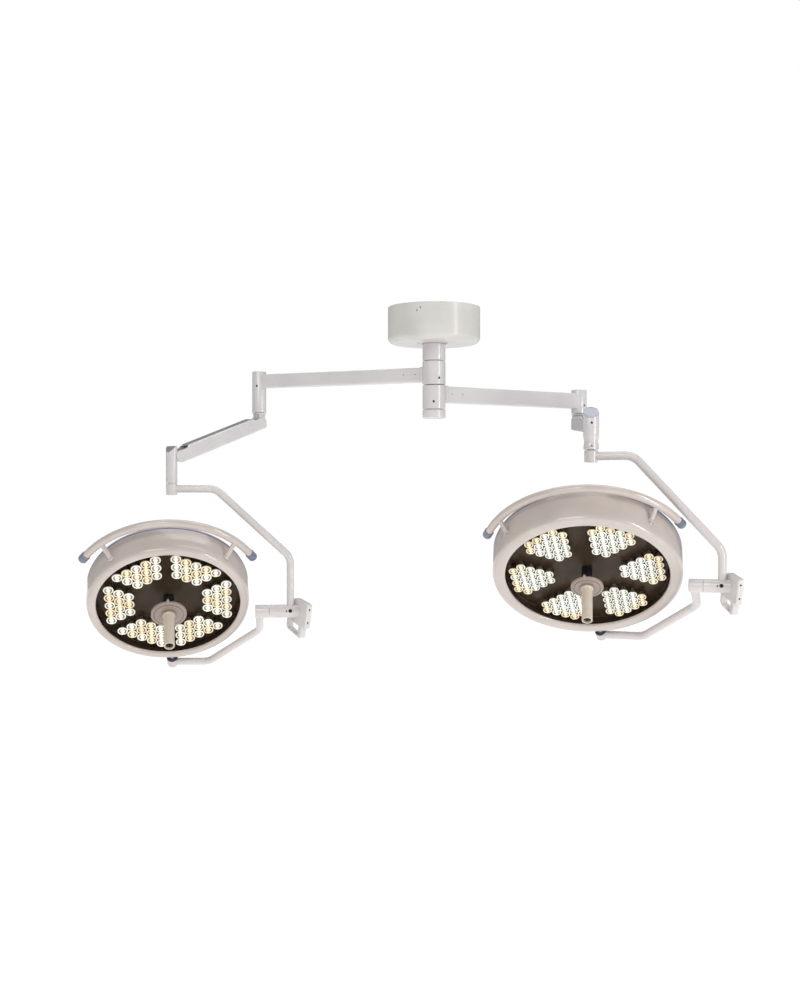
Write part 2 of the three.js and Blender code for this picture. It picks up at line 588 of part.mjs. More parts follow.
function addLamp(parent, lamp) {
  const { arm, spring, link, yoke, head } = lamp;
  const { length, reach, rodOffset } = SPRING_ARM;
  const origin = v3(0, 0, 0);
  const armFrame = addGroup(parent, origin, aboutZ(arm.yaw));
  addArm(armFrame, lamp);

  const swivel = addGroup(armFrame, v3(arm.length, 0, REAR_PIVOT_Z), aboutZ(spring.heading - arm.yaw));
  addRearBlock(swivel, lamp);
  const springFrame = addGroup(swivel, origin, aboutY(-spring.pitch));
  addSpringCasing(springFrame, lamp);
  addBalanceSpring(springFrame, lamp);
  addTieRod(addGroup(swivel, v3(0, 0, -rodOffset), aboutY(-spring.pitch)), lamp);

  const tip = v3(length * Math.cos(rad(spring.pitch)), 0, length * Math.sin(rad(spring.pitch)));
  const linkFrame = addGroup(swivel, tip, noTurn);
  addLink(linkFrame, lamp);

  const yokeFrame = addGroup(linkFrame, v3(reach, 0, -link.drop), aboutZ(yoke.yaw - spring.heading));
  addYoke(yokeFrame, lamp);

  const bowFrame = addGroup(yokeFrame, v3(yoke.reach - head.axisReach, 0, -yoke.drop), aboutX(head.roll));
  addBow(bowFrame, lamp);

  const pivotFrame = addGroup(bowFrame, v3(0, 0, head.behindAxis + PIVOT.behind), aboutY(head.turn));
  addHead(addGroup(pivotFrame, v3(0, 0, -PIVOT.behind), noTurn), lamp);
}

const light = new THREE.Group();
addColumn(light);
for (const lamp of LAMPS) addLamp(light, lamp);

export default light;
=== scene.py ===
"""Looks of the ceiling-mounted double surgical light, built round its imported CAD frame.

Metres in Blender; local shapes are written in millimetres. Every lamp part is built in the local frame of
its body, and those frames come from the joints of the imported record.
"""

import json
import math

import bmesh
import bpy
from mathutils import Matrix, Vector


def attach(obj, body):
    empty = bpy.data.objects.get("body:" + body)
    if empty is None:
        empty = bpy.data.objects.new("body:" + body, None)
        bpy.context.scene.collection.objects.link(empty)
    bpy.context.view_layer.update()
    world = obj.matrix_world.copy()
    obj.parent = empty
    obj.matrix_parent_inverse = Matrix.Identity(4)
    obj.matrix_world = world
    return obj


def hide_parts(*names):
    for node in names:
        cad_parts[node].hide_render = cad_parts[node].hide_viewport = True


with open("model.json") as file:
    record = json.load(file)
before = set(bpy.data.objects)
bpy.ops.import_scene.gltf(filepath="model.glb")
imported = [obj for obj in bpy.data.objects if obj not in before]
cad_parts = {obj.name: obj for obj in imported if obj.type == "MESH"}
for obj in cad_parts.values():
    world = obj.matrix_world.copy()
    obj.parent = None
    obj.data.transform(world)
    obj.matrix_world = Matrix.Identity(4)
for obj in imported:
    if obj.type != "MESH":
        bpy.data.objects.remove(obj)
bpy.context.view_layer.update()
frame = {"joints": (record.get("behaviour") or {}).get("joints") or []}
MM = 0.001
UP = Vector((0, 0, 1))

# ---------------------------------------------------------------- driving dimensions, millimetres

PLATE = {"radius": 150, "thickness": 10, "bolt_circle": 120, "bolt": 5.5, "bolts": 6}
CANOPY = {"radius": 175, "top": -3, "bottom": -140, "wall": 3, "edge": 22}
COLUMN = {"radius": 43.5, "tube_bottom": -205, "cap_top": -390, "bottom": -422, "spindle": 26, "bore": 36}
KNUCKLE_BOTTOM = -381
SPRING_ARM = {"length": 500, "reach": 24, "wall": 2.5, "cheek": 20, "lug": 17, "neck": 44, "shoulder": 58}
PIN = {"radius": 12, "bore": 12.8}
STUB = {"radius": 24.5, "seam": 0.8, "collar": 52}
HANDLE = {"thickness": 11, "stand_off": 30, "grip": 19.5, "bore": 15, "stem": 20}
PIVOT = {"behind": 14, "block": 21, "seal": 3, "length": 46}
BOX = {"offset": 35, "yaw": 30, "roll": 13, "thickness": 24}
BOX_OUTLINE = [(-31, 40), (-26, 44), (60, 44), (65, 39), (65, -49), (42, -49), (42, -91), (34, -96),
               (-50, -86), (-65, -76), (-65, -20), (-31, -16)]
BOX_WINDOW = [(-54, -46), (22, -50), (22, -87), (-52, -77)]

LEFT = {
    "name": "left",
    "collar": (-205.3, -296.8),
    "arm": {"z": -257, "height": 55, "width": 38},
    "knuckle": {"radius": 28, "top": -217},
    "spring": {"height": 56, "width": 44},
    "link": {"drop": 122, "width": 42, "top": 37, "collar": 20.5, "slope": 46, "crest": 40, "seam": 0.9},
    "yoke": {"reach": 439.5, "drop": 457.6, "elbow": (161, 256), "tube": 14, "bend": 62},
    "head": {"radius": 300, "opening": 265.5, "behind_axis": 26, "axis_reach": 452.6, "wall": 108,
             "stub_gap": 21.5},
    "rail": {"radius": 355, "tube": 14, "behind": 80, "span": (31, 143), "posts": (44, 130)},
    "handle": {"flange": 66, "length": 152},
    "pods": {"rows": ("wow", "wcow", "wowow"), "pitch": 41, "first": 144, "lens": 19.5},
}
RIGHT = {
    "name": "right",
    "collar": (-297.2, -389.7),
    "arm": {"z": -331, "height": 62, "width": 42},
    "knuckle": {"radius": 31, "top": -285},
    "spring": {"height": 58, "width": 60},
    "link": {"drop": 119, "width": 58, "top": 67, "collar": 25, "slope": 34, "crest": 45, "seam": 2.4},
    "yoke": {"reach": 472, "drop": 469.4, "elbow": (155, 342), "tube": 15.5, "bend": 70},
    "head": {"radius": 350, "opening": 302.5, "behind_axis": 19, "axis_reach": 491.2, "wall": 122,
             "stub_gap": 23.5},
    "rail": {"radius": 387, "tube": 14.5, "behind": 108, "span": (24.5, 149), "posts": (42, 137)},
    "handle": {"flange": 60, "length": 146},
    "pods": {"rows": ("nn", "nnn", "nnnw", "onnnc", "oowo"), "pitch": 37, "first": 139, "lens": 17.2},
}

# ---------------------------------------------------------------- frames of the bodies

JOINTS = {j["name"]: j for j in frame["joints"]}


def joint_place(name):
    return Vector(JOINTS[name]["pos_m"])


def joint_axis(name):
    return Vector(JOINTS[name]["axis"]).normalized()


def axes(origin, x, z):
    """The frame at origin with +X along x and +Z as near z as that allows."""
    x = x.normalized()
    y = z.cross(x).normalized()
    m = Matrix((x, y, x.cross(y))).transposed().to_4x4()
    m.translation = origin
    return m


def shift(x=0, y=0, z=0):
    return Matrix.Translation(Vector((x, y, z)) * MM)


def turn(degrees, about):
    return Matrix.Rotation(math.radians(degrees), 4, about)


def lamp_frames(lamp):
    """Every local frame of one lamp, named as its bodies are."""
    side = lamp["name"]
    swivel = joint_place(f"{side}_spring_arm_swivel")
    rear = joint_place(f"{side}_spring_arm_tilt")
    front = joint_place(f"{side}_link_level")
    run = front - rear
    level = Vector((run.x, run.y, 0))
    stub = joint_axis(f"{side}_bow_roll")
    tilt = joint_axis(f"{side}_head_tilt")
    back = -joint_axis(f"{side}_handle_pull")
    yoke = axes(joint_place(f"{side}_yoke_turn"), stub, UP)
    box = yoke @ shift(lamp["yoke"]["reach"] + BOX["offset"], 0, -lamp["yoke"]["drop"])
    return {
        "arm": axes(Vector((0, 0, 0)), Vector((swivel.x, swivel.y, 0)), UP),
        "arm_length": math.hypot(swivel.x, swivel.y) / MM,
        "swivel": axes(rear, level, UP),
        "spring_arm": axes(rear, run, UP),
        "tie_rod": axes(joint_place(f"{side}_tie_rod_tilt"), run, UP),
        "link": axes(front, level, UP),
        "yoke": yoke,
        "box": box @ turn(BOX["yaw"], "Z") @ turn(BOX["roll"], "X"),
        "bow": axes(joint_place(f"{side}_bow_roll"), stub, stub.cross(tilt)),
        "head": axes(joint_place(f"{side}_head_tilt") - back * PIVOT["behind"] * MM, tilt.cross(back), back),
    }


# ---------------------------------------------------------------- shapes

def loft(rings, caps=True, ring_closed=False):
    """A skin over rings of points that all have the same count; a ring of one point closes to a tip."""
    bm = bmesh.new()
    rows = [[bm.verts.new(Vector(p) * MM) for p in ring] for ring in rings]
    pairs = list(zip(rows, rows[1:])) + ([(rows[-1], rows[0])] if ring_closed else [])
    for a, b in pairs:
        n = max(len(a), len(b))
        for i in range(n):
            j = (i + 1) % n
            corners = [a[i % len(a)], a[j % len(a)], b[j % len(b)], b[i % len(b)]]
            unique = list(dict.fromkeys(corners))
            if len(unique) > 2:
                bm.faces.new(unique)
    if caps and not ring_closed:
        for row in (rows[0], rows[-1]):
            if len(row) > 2:
                bm.faces.new(row)
    bmesh.ops.recalc_face_normals(bm, faces=bm.faces)
    return bm


def circle(radius, z, sides):
    if radius < 1e-6:
        return [(0, 0, z)]
    step = math.tau / sides
    return [(radius * math.cos(i * step), radius * math.sin(i * step), z) for i in range(sides)]


def lathe(profile, sides=96):
    """A solid of revolution about Z from (radius, z) points; a profile that ends where it began is a ring."""
    closed = profile[0] == profile[-1]
    points = profile[:-1] if closed else profile
    return loft([circle(r, z, sides) for r, z in points], ring_closed=closed)


def disc(radius, low, high, edge=1.0, sides=64):
    """A short cylinder with a rounded rim at both ends."""
    c = edge * 0.3
    return lathe([(0, low), (radius - edge, low), (radius - c, low + c), (radius, low + edge),
                  (radius, high - edge), (radius - c, high - c), (radius - edge, high), (0, high)], sides)


def washer(inner, outer, low, high, edge=1.0, sides=96):
    """A ring with small chamfers on its outer rims."""
    return lathe([(inner, low), (outer - edge, low), (outer, low + edge), (outer, high - edge),
                  (outer - edge, high), (inner, high), (inner, low)], sides)


def rounded(width, height, radius, steps=6):
    """The outline of a rounded rectangle as (y, z) points."""
    points = []
    for k, (sy, sz) in enumerate([(1, -1), (1, 1), (-1, 1), (-1, -1)]):
        for i in range(steps + 1):
            a = math.radians(-90 + 90 * k + 90 * i / steps)
            points.append((sy * (width / 2 - radius) + radius * math.cos(a),
                           sz * (height / 2 - radius) + radius * math.sin(a)))
    return points


def bar(width, height, radius, x0, x1, edge=1.2):
    """A bar along +X with rounded corners and softened ends."""
    rings = []
    for x, inset in ((x0, edge), (x0 + edge, 0), (x1 - edge, 0), (x1, edge)):
        section = rounded(width - 2 * inset, height - 2 * inset, radius - inset * 0.5)
        rings.append([(x, y, z) for y, z in section])
    return loft(rings)


def along(bm, matrix):
    """The mesh moved by a matrix (metres), returned for chaining."""
    bmesh.ops.transform(bm, matrix=matrix, verts=bm.verts)
    return bm


def along_x(bm):
    return along(bm, turn(90, "Y"))


def along_y(bm):
    return along(bm, turn(-90, "X"))


def pointing(point, direction):
    """The frame at a point (millimetres) with +Z along direction."""
    m = Vector(direction).normalized().to_track_quat("Z", "Y").to_matrix().to_4x4()
    m.translation = Vector(point) * MM
    return m


def bent(corners, bend, steps=14):
    """Points and directions of a polyline with round bends."""
    corners = [Vector(c) for c in corners]
    headings = [(b - a).normalized() for a, b in zip(corners, corners[1:])]
    path = [(corners[0], headings[0])]
    for corner, into, out in zip(corners[1:], headings, headings[1:]):
        angle = into.angle(out)
        start = corner - into * bend * math.tan(angle / 2)
        inward = (out - into * out.dot(into)).normalized()
        for k in range(steps + 1):
            a = angle * k / steps
            point = start + into * bend * math.sin(a) + inward * bend * (1 - math.cos(a))
            path.append((point, into * math.cos(a) + inward * math.sin(a)))
    path.append((corners[-1], headings[-1]))
    return path


def tube(path, radius, sides=40):
    """A round bar along (point, direction) stations, its section carried along without twist."""
    across, step = path[0][1].orthogonal().normalized(), math.tau / sides
    rings = []
    for point, heading in path:
        across = (across - heading * across.dot(heading)).normalized()
        other = heading.cross(across)
        rings.append([point + (across * math.cos(k * step) + other * math.sin(k * step)) * radius
                      for k in range(sides)])
    return loft(rings)


def block(x, y, z):
    """A plain block between three pairs of limits."""
    return loft([[(x[0], y[0], h), (x[1], y[0], h), (x[1], y[1], h), (x[0], y[1], h)] for h in z])


def prism(outline, outer_face, thickness):
    """A plate from (towards -Y, up) points with its outer face at x = outer_face."""
    return loft([[(x, -a, b) for a, b in outline] for x in (outer_face - thickness, outer_face)])


def softened(points, times=2):
    """The polyline with its corners cut off again and again, ends kept."""
    for _ in range(times):
        out = [points[0]]
        for (r0, z0), (r1, z1) in zip(points, points[1:]):
            out += [(0.75 * r0 + 0.25 * r1, 0.75 * z0 + 0.25 * z1),
                    (0.25 * r0 + 0.75 * r1, 0.25 * z0 + 0.75 * z1)]
        points = out + [points[-1]]
    return points


def joined(*meshes):
    """Several bmeshes in one, not welded."""
    target = bmesh.new()
    for bm in meshes:
        holder = bpy.data.meshes.new("joining")
        bm.to_mesh(holder)
        bm.free()
        target.from_mesh(holder)
        bpy.data.meshes.remove(holder)
    return target


def as_object(name, bm):
    mesh = bpy.data.meshes.new(name)
    bm.to_mesh(mesh)
    bm.free()
    obj = bpy.data.objects.new(name, mesh)
    bpy.context.scene.collection.objects.link(obj)
    return obj


def settle(obj):
    """Applies the object's modifiers."""
    bpy.context.view_layer.update()
    old = obj.data
    obj.data = bpy.data.meshes.new_from_object(obj.evaluated_get(bpy.context.evaluated_depsgraph_get()))
    obj.modifiers.clear()
    bpy.data.meshes.remove(old)
    return obj


def combine(bm, others, operation):
    """The mesh after a boolean with each of the others."""
    obj = as_object("combining", bm)
    for other in others:
        tool = as_object("tool", other)
        modifier = obj.modifiers.new("boolean", "BOOLEAN")
        modifier.operation, modifier.object, modifier.solver = operation, tool, "EXACT"
        settle(obj)
        bpy.data.objects.remove(tool)
    out = bmesh.new()
    out.from_mesh(obj.data)
    bpy.data.objects.remove(obj)
    return out


def cut(bm, *tools):
    return combine(bm, tools, "DIFFERENCE")


def welded(bm, *others):
    return combine(bm, others, "UNION")


def bevelled(bm, width, segments=3, angle=32):
    """Rounds every edge sharper than angle."""
    edges = [e for e in bm.edges if len(e.link_faces) == 2 and e.calc_face_angle(0) > math.radians(angle)]
    bmesh.ops.bevel(bm, geom=edges, offset=width * MM, segments=segments, affect="EDGES", profile=0.5,
                    clamp_overlap=True)
    return bm


# ---------------------------------------------------------------- materials

def new_material(name, roughness, metallic=0.0, coat=0.0, ior=1.5):
    material = bpy.data.materials.new(name)
    material.use_nodes = True
    shader = material.node_tree.nodes["Principled BSDF"]
    shader.inputs["Roughness"].default_value = roughness
    shader.inputs["Metallic"].default_value = metallic
    shader.inputs["Coat Weight"].default_value = coat
    shader.inputs["Coat Roughness"].default_value = 0.06
    shader.inputs["IOR"].default_value = ior
    return material, material.node_tree, shader


def add_noise(tree, scale, detail=3.0, stretch=(1, 1, 1)):
    """A noise over the piece's own coordinates."""
    coordinates = tree.nodes.new("ShaderNodeTexCoord")
    mapping = tree.nodes.new("ShaderNodeMapping")
    mapping.inputs["Scale"].default_value = stretch
    noise = tree.nodes.new("ShaderNodeTexNoise")
    noise.inputs["Scale"].default_value = scale
    noise.inputs["Detail"].default_value = detail
    tree.links.new(coordinates.outputs["Object"], mapping.inputs["Vector"])
    tree.links.new(mapping.outputs["Vector"], noise.inputs["Vector"])
    return noise


def add_ramp(tree, source, low, high, start=0.35, end=0.65):
    """A colour that runs from low to high as source does."""
    ramp = tree.nodes.new("ShaderNodeValToRGB")
    ramp.color_ramp.elements[0].position, ramp.color_ramp.elements[1].position = start, end
    ramp.color_ramp.elements[0].color = (*low, 1)
    ramp.color_ramp.elements[1].color = (*high, 1)
    tree.links.new(source, ramp.inputs["Fac"])
    return ramp


def add_range(tree, source, low, high):
    ranged = tree.nodes.new("ShaderNodeMapRange")
    ranged.inputs["To Min"].default_value = low
    ranged.inputs["To Max"].default_value = high
    tree.links.new(source, ranged.inputs["Value"])
    return ranged


def add_bump(tree, shader, source, strength, distance):
    bump = tree.nodes.new("ShaderNodeBump")
    bump.inputs["Strength"].default_value = strength
    bump.inputs["Distance"].default_value = distance
    tree.links.new(source, bump.inputs["Height"])
    tree.links.new(bump.outputs["Normal"], shader.inputs["Normal"])


def surface(name, low, high, roughness, grain, bump=0.05, metallic=0.0, coat=0.0, ior=1.5, stretch=(1, 1, 1),
            spread=0.08):
    """A finish whose colour wanders between two tones, with a fine grain in its gloss and relief."""
    material, tree, shader = new_material(name, roughness, metallic, coat, ior)
    wander = add_noise(tree, 9.0, 2.0)
    tone = add_ramp(tree, wander.outputs["Fac"], low, high)
    tree.links.new(tone.outputs["Color"], shader.inputs["Base Color"])
    fine = add_noise(tree, grain, 4.0, stretch)
    gloss = add_range(tree, fine.outputs["Fac"], roughness - spread, roughness + spread)
    tree.links.new(gloss.outputs["Result"], shader.inputs["Roughness"])
    add_bump(tree, shader, fine.outputs["Fac"], bump, 0.0004)
    return material


def add_math(tree, operation, a, b=None):
    node = tree.nodes.new("ShaderNodeMath")
    node.operation = operation
    for i, value in enumerate((a, b)):
        if value is None:
            continue
        if isinstance(value, (int, float)):
            node.inputs[i].default_value = value
        else:
            tree.links.new(value, node.inputs[i])
    return node.outputs[0]


def lens_surface():
    """Moulded lens fronts: the tint of each lens, times a painted reflection: a dark ring that a bright
    upright streak breaks.
    """
    material, tree, shader = new_material("lens_front", 0.1, coat=0.8)
    uv = tree.nodes.new("ShaderNodeUVMap")
    uv.uv_map = "lens"
    split = tree.nodes.new("ShaderNodeSeparateXYZ")
    tree.links.new(uv.outputs["UV"], split.inputs["Vector"])
    x, y = split.outputs["X"], split.outputs["Y"]
    # painted reflection: the dark ring and the bright upright streak stand in for reflected shade and light
    ring_at, ring_width, streak_half, streak_fade = 0.6, 0.21, 0.40, 0.24

    def squared(value):
        return add_math(tree, "MULTIPLY", value, value)

    reach = add_math(tree, "SQRT", add_math(tree, "ADD", squared(x), squared(y)))
    ring = add_math(tree, "DIVIDE", add_math(tree, "SUBTRACT", reach, ring_at), ring_width)
    streak = add_math(tree, "SUBTRACT", streak_half, add_math(tree, "ABSOLUTE", x))
    streak = add_math(tree, "MAXIMUM", add_math(tree, "DIVIDE", streak, streak_fade), 0.0)
    far = add_math(tree, "ADD", squared(ring), squared(streak))
    painted_reflection = add_ramp(tree, far, (0.12, 0.10, 0.075), (1, 1, 1), 0.05, 0.9)
    tint = tree.nodes.new("ShaderNodeVertexColor")
    tint.layer_name = "tint"
    mixed = tree.nodes.new("ShaderNodeMix")
    mixed.data_type, mixed.blend_type = "RGBA", "MULTIPLY"
    mixed.inputs["Factor"].default_value = 1
    tree.links.new(tint.outputs["Color"], mixed.inputs[6])
    tree.links.new(painted_reflection.outputs["Color"], mixed.inputs[7])
    tree.links.new(mixed.outputs[2], shader.inputs["Base Color"])
    # the glow of the lit lens carries the painted reflection too
    tree.links.new(mixed.outputs[2], shader.inputs["Emission Color"])
    shader.inputs["Emission Strength"].default_value = 0.36
    return material


def glass_surface():
    """A thin clear cover with a barely visible smear."""
    material = bpy.data.materials.new("cover_glass")
    material.use_nodes = True
    tree = material.node_tree
    tree.nodes.remove(tree.nodes["Principled BSDF"])
    out = tree.nodes["Material Output"]
    clear = tree.nodes.new("ShaderNodeBsdfTransparent")
    smear = add_noise(tree, 14, 3.0)
    tone = add_ramp(tree, smear.outputs["Fac"], (0.93, 0.92, 0.90), (0.97, 0.97, 0.96))
    tree.links.new(tone.outputs["Color"], clear.inputs["Color"])
    tree.links.new(clear.outputs["BSDF"], out.inputs["Surface"])
    return material


FINISH = {}


def add_finish(name, *tones, **more):
    FINISH[name] = surface(name, *tones, **more)


add_finish("enamel", (0.60, 0.578, 0.574), (0.64, 0.618, 0.613), 0.22, 900, 0.03, coat=0.45)
add_finish("yoke_enamel", (0.61, 0.57, 0.553), (0.65, 0.61, 0.593), 0.22, 900, 0.03, coat=0.45)
add_finish("canopy", (0.57, 0.555, 0.515), (0.62, 0.605, 0.57), 0.40, 900, 0.03, coat=0.2)
add_finish("head_enamel", (0.525, 0.46, 0.418), (0.57, 0.503, 0.46), 0.18, 900, 0.02, coat=0.6)
add_finish("steel", (0.44, 0.45, 0.46), (0.55, 0.56, 0.58), 0.34, 400, 0.1, metallic=1.0, stretch=(1, 1, 14))
add_finish("dark_steel", (0.010, 0.010, 0.012), (0.03, 0.03, 0.034), 0.42, 700, 0.1, metallic=0.4)
add_finish("grey_cover", (0.20, 0.195, 0.20), (0.26, 0.255, 0.26), 0.42, 600, 0.12)
add_finish("seal", (0.045, 0.045, 0.10), (0.07, 0.07, 0.14), 0.4, 500, 0.08)
add_finish("gasket", (0.15, 0.15, 0.33), (0.20, 0.20, 0.40), 0.4, 500, 0.06)
add_finish("rail_end", (0.145, 0.16, 0.235), (0.19, 0.205, 0.29), 0.2, 500, 0.03, coat=0.6)
add_finish("link_cap", (0.37, 0.385, 0.44), (0.42, 0.435, 0.49), 0.3, 700, 0.05, coat=0.3)
FINISH["front_glass"] = glass_surface()
FINISH["lens"] = lens_surface()
add_finish("lens_body", (0.16, 0.13, 0.10), (0.24, 0.20, 0.16), 0.16, 300, 0.05, coat=0.5)
add_finish("tray", (0.052, 0.034, 0.022), (0.064, 0.043, 0.029), 0.24, 40, 0.0, ior=1.3, spread=0.03)
add_finish("grip", (0.60, 0.52, 0.42), (0.65, 0.57, 0.47), 0.34, 650, 0.05, coat=0.3)
add_finish("flange", (0.29, 0.23, 0.195), (0.33, 0.265, 0.225), 0.34, 650, 0.06, coat=0.2)
add_finish("grip_inside", (0.030, 0.025, 0.012), (0.07, 0.06, 0.035), 0.32, 400, 0.1, metallic=0.6)
add_finish("keypad", (0.44, 0.46, 0.50), (0.50, 0.52, 0.56), 0.38, 800, 0.05)
add_finish("button", (0.16, 0.26, 0.38), (0.20, 0.32, 0.44), 0.4, 800, 0.08)

# ---------------------------------------------------------------- pieces

def piece(name, bm, at, finish, body, nodes=(), sharp=34):
    """A finished piece: smooth where its faces turn by less than sharp degrees, riding on its body."""
    obj = as_object(name, along(bm, at))
    obj.data.materials.append(FINISH[finish])
    obj.data.polygons.foreach_set("use_smooth", [True] * len(obj.data.polygons))
    obj.data.set_sharp_from_angle(angle=math.radians(sharp))
    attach(obj, body)
    if nodes:
        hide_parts(*nodes)


def screw_piece(name, bm, at, body):
    piece(name, bm, at, "dark_steel", body)


def hole_tool(point, direction, radius, depth=7):
    """A cutter for a round hole with a broken edge; direction points out of the surface."""
    edge = radius * 0.25
    profile = [(0, -depth), (radius, -depth), (radius, -edge), (radius + edge, 0), (radius + edge, 3), (0, 3)]
    return along(lathe(profile, 24), pointing(point, direction))


def grub_screw(point, direction, radius, sunk=1.8):
    """A socket screw: a round body with a hexagonal recess, its face sunk below the surface."""
    sides = 24
    hexagon = []
    for i in range(sides):
        a = math.tau * i / sides
        r = 0.58 * radius * math.cos(math.pi / 6) / math.cos((a % (math.pi / 3)) - math.pi / 6)
        hexagon.append((r * math.cos(a), r * math.sin(a)))
    rings = [circle(radius * 0.98, -6, sides), circle(radius * 0.98, -sunk - 0.3, sides),
             circle(radius * 0.88, -sunk, sides), [(x, y, -sunk) for x, y in hexagon],
             [(x, y, -sunk - radius * 0.9) for x, y in hexagon], [(0, 0, -sunk - radius * 1.1)]]
    return along(loft(rings), pointing(point, direction))


def screwed(bm, screws):
    """The mesh with its holes cut, and the screws that sit in them."""
    tool = joined(*[hole_tool(p, d, r) for p, d, r in screws])
    return cut(bm, tool), joined(*[grub_screw(p, d, r) for p, d, r in screws])


def on_cylinder(radius, degrees, z, size):
    """A screw on an upright cylinder: its point, outward direction and radius."""
    a = math.radians(degrees)
    out = Vector((math.cos(a), math.sin(a), 0))
    return out * radius + Vector((0, 0, z)), out, size


# ---------------------------------------------------------------- ceiling mount and column

def build_column():
    body, here = "ceiling_mount", Matrix.Identity(4)
    plate = disc(PLATE["radius"], -PLATE["thickness"], 0, 1.2, 96)
    bolts = []
    for i in range(PLATE["bolts"]):
        a = math.radians(60 * (i + 0.5))
        centre = (PLATE["bolt_circle"] * math.cos(a), PLATE["bolt_circle"] * math.sin(a), 0)
        bolts.append(along(disc(PLATE["bolt"], -20, 10, 0.5, 32), pointing(centre, UP)))
    piece("ceiling_plate_steel", cut(plate, joined(*bolts)), here, "steel", body, ["ceiling_plate"])

    R, floor, wall, edge = CANOPY["radius"], CANOPY["bottom"], CANOPY["wall"], CANOPY["edge"]
    outer, inner = [], []
    for k in range(13):
        a = math.radians(90 * k / 12)
        s, c = math.sin(a), math.cos(a)
        outer.append((R - edge + edge * s, floor + edge - edge * c))
        inner.append((R - edge + (edge - wall) * s, floor + edge - (edge - wall) * c))
    hole = COLUMN["radius"] + 2
    rim = CANOPY["top"]
    profile = [(hole, floor + 0.8), (hole + 0.8, floor), *outer, (R, rim - 1), (R - 1, rim), (R - wall, rim),
               *reversed(inner), (hole, floor + wall), (hole, floor + 0.8)]
    screws = [on_cylinder(R, a + d, z, 2.6) for a in (-110.5, 9.5, 129.5)
              for d, z in ((-2.2, -34), (2.2, -24))]
    shell, pins = screwed(lathe(profile, 128), screws)
    piece("canopy_shell", shell, here, "canopy", body, ["canopy_cover"])
    screw_piece("canopy_side_screws", pins, here, body)
    heads = []
    for i in range(3):
        a = math.radians(-41 + 120 * i)
        centre = (61 * math.cos(a), 61 * math.sin(a), floor)
        knob = lathe([(0, 4.5), (2.2, 4.3), (4.4, 3), (5.5, 1), (5.5, -2), (0, -2)], 32)
        heads.append(along(knob, pointing(centre, -UP)))
    piece("canopy_floor_screws", joined(*heads), here, "steel", body)

    r, low = COLUMN["radius"], COLUMN["tube_bottom"]
    bore, flange = COLUMN["bore"], 84
    tube_profile = [(bore, low + 1), (r - 1.6, low + 1), (r, low + 2.4), (r, -26), (r + 4, -22.3),
                    (flange, -22.3), (flange, -10.3), (bore, -10.3), (bore, low + 1)]
    drop, pins = screwed(lathe(tube_profile), [on_cylinder(r, -59, low + 10, 1.8)])
    piece("drop_tube_shell", drop, here, "enamel", body, ["drop_tube"])
    screw_piece("drop_tube_screw", pins, here, body)
    lip = washer(r + 0.3, r + 4.5, floor - 1.2, floor + 1.6)
    piece("column_lip", lip, here, "grey_cover", body)

    top, bottom, spindle = COLUMN["cap_top"], COLUMN["bottom"], COLUMN["spindle"]
    plug = bore - 1
    shaft = [(0, bottom + 1.5), (r - 9, bottom + 1.5), (r - 7.5, bottom), (r - 2.5, bottom),
             (r - 0.7, bottom + 0.8), (r, bottom + 2.6), (r, top - 2.2), (r - 1.4, top - 0.8),
             (spindle, top - 0.8), (spindle, low - 0.3), (plug, low - 0.3), (plug, low + 60), (0, low + 60)]
    piece("column_foot", lathe(shaft), here, "enamel", body, ["column_spindle"])


# ---------------------------------------------------------------- arm

def build_arm(lamp, at, length):
    side, arm, knuckle = lamp["name"], lamp["arm"], lamp["knuckle"]
    body = f"{side}_arm"
    high, low = lamp["collar"]
    r, k = COLUMN["radius"], knuckle["radius"]
    yaw = math.degrees(math.atan2(at[1][0], at[0][0]))
    high, low = high - 1.3, low + 1.3
    bore = COLUMN["spindle"] + 0.6
    collar = lathe([(bore, low), (r - 1.6, low), (r, low + 1.6), (r, high - 1.6), (r - 1.6, high),
                    (bore, high), (bore, low)])
    spots = {"left": [(-64, -272)], "right": [(-170, -342), (-93, -361)]}[side]
    collar, pins = screwed(collar, [on_cylinder(r, a - yaw, z, 4.2) for a, z in spots])
    piece(f"{side}_collar", collar, at, "enamel", body, [f"{side}_arm_collar"])
    beam = along(bar(arm["width"], arm["height"], 7, 30, length - 10), shift(0, 0, arm["z"]))
    root = along(bar(arm["width"] + 5, arm["height"] + 5, 8, 30, r + 9, 2.4), shift(0, 0, arm["z"]))
    beam = welded(beam, root)
    beam = cut(beam, disc(r + 0.3, -600, 0), along(disc(k + 0.3, -600, 0), shift(length, 0, 0)))
    near = 1 if side == "left" else -1
    rivets = [((x, near * arm["width"] / 2, arm["z"] + 2), (0, near, 0), 2.0) for x in (70, 118)]
    beam, more = screwed(beam, rivets)
    piece(f"{side}_beam", beam, at, "enamel", body, [f"{side}_arm_beam"])

    top, foot, socket = knuckle["top"], KNUCKLE_BOTTOM, 14.6
    housing = lathe([(0, top), (k - 5, top), (k - 4.4, top - 0.8), (k - 3, top - 0.4), (k - 1, top - 1),
                     (k, top - 3), (k, foot + 4.2), (k + 0.8, foot + 3.4), (k + 0.8, foot + 1), (k, foot),
                     (socket, foot), (socket, foot + 70), (0, foot + 70)], 72)
    spot = {"left": (-106, -276), "right": (-52, -348)}[side]
    housing, knob = screwed(housing, [on_cylinder(k, spot[0] - yaw, spot[1], 4.2)])
    lid = [((k - 6) * math.cos(a), (k - 6) * math.sin(a)) for a in (0.6, 2.7, 4.8)]
    notches = [along(disc(2.2, -3, 3, 0.3, 20), pointing((x, y, top), UP)) for x, y in lid]
    place = shift(length, 0, 0)
    piece(f"{side}_knuckle_housing", along(cut(housing, joined(*notches)), place), at, "enamel", body,
          [f"{side}_knuckle"])
    screw_piece(f"{side}_arm_screws", joined(pins, more, along(knob, place)), at, body)


# ---------------------------------------------------------------- spring arm

def lug_width(lamp):
    return lamp["spring"]["width"] - 2 * SPRING_ARM["wall"] - 1.2


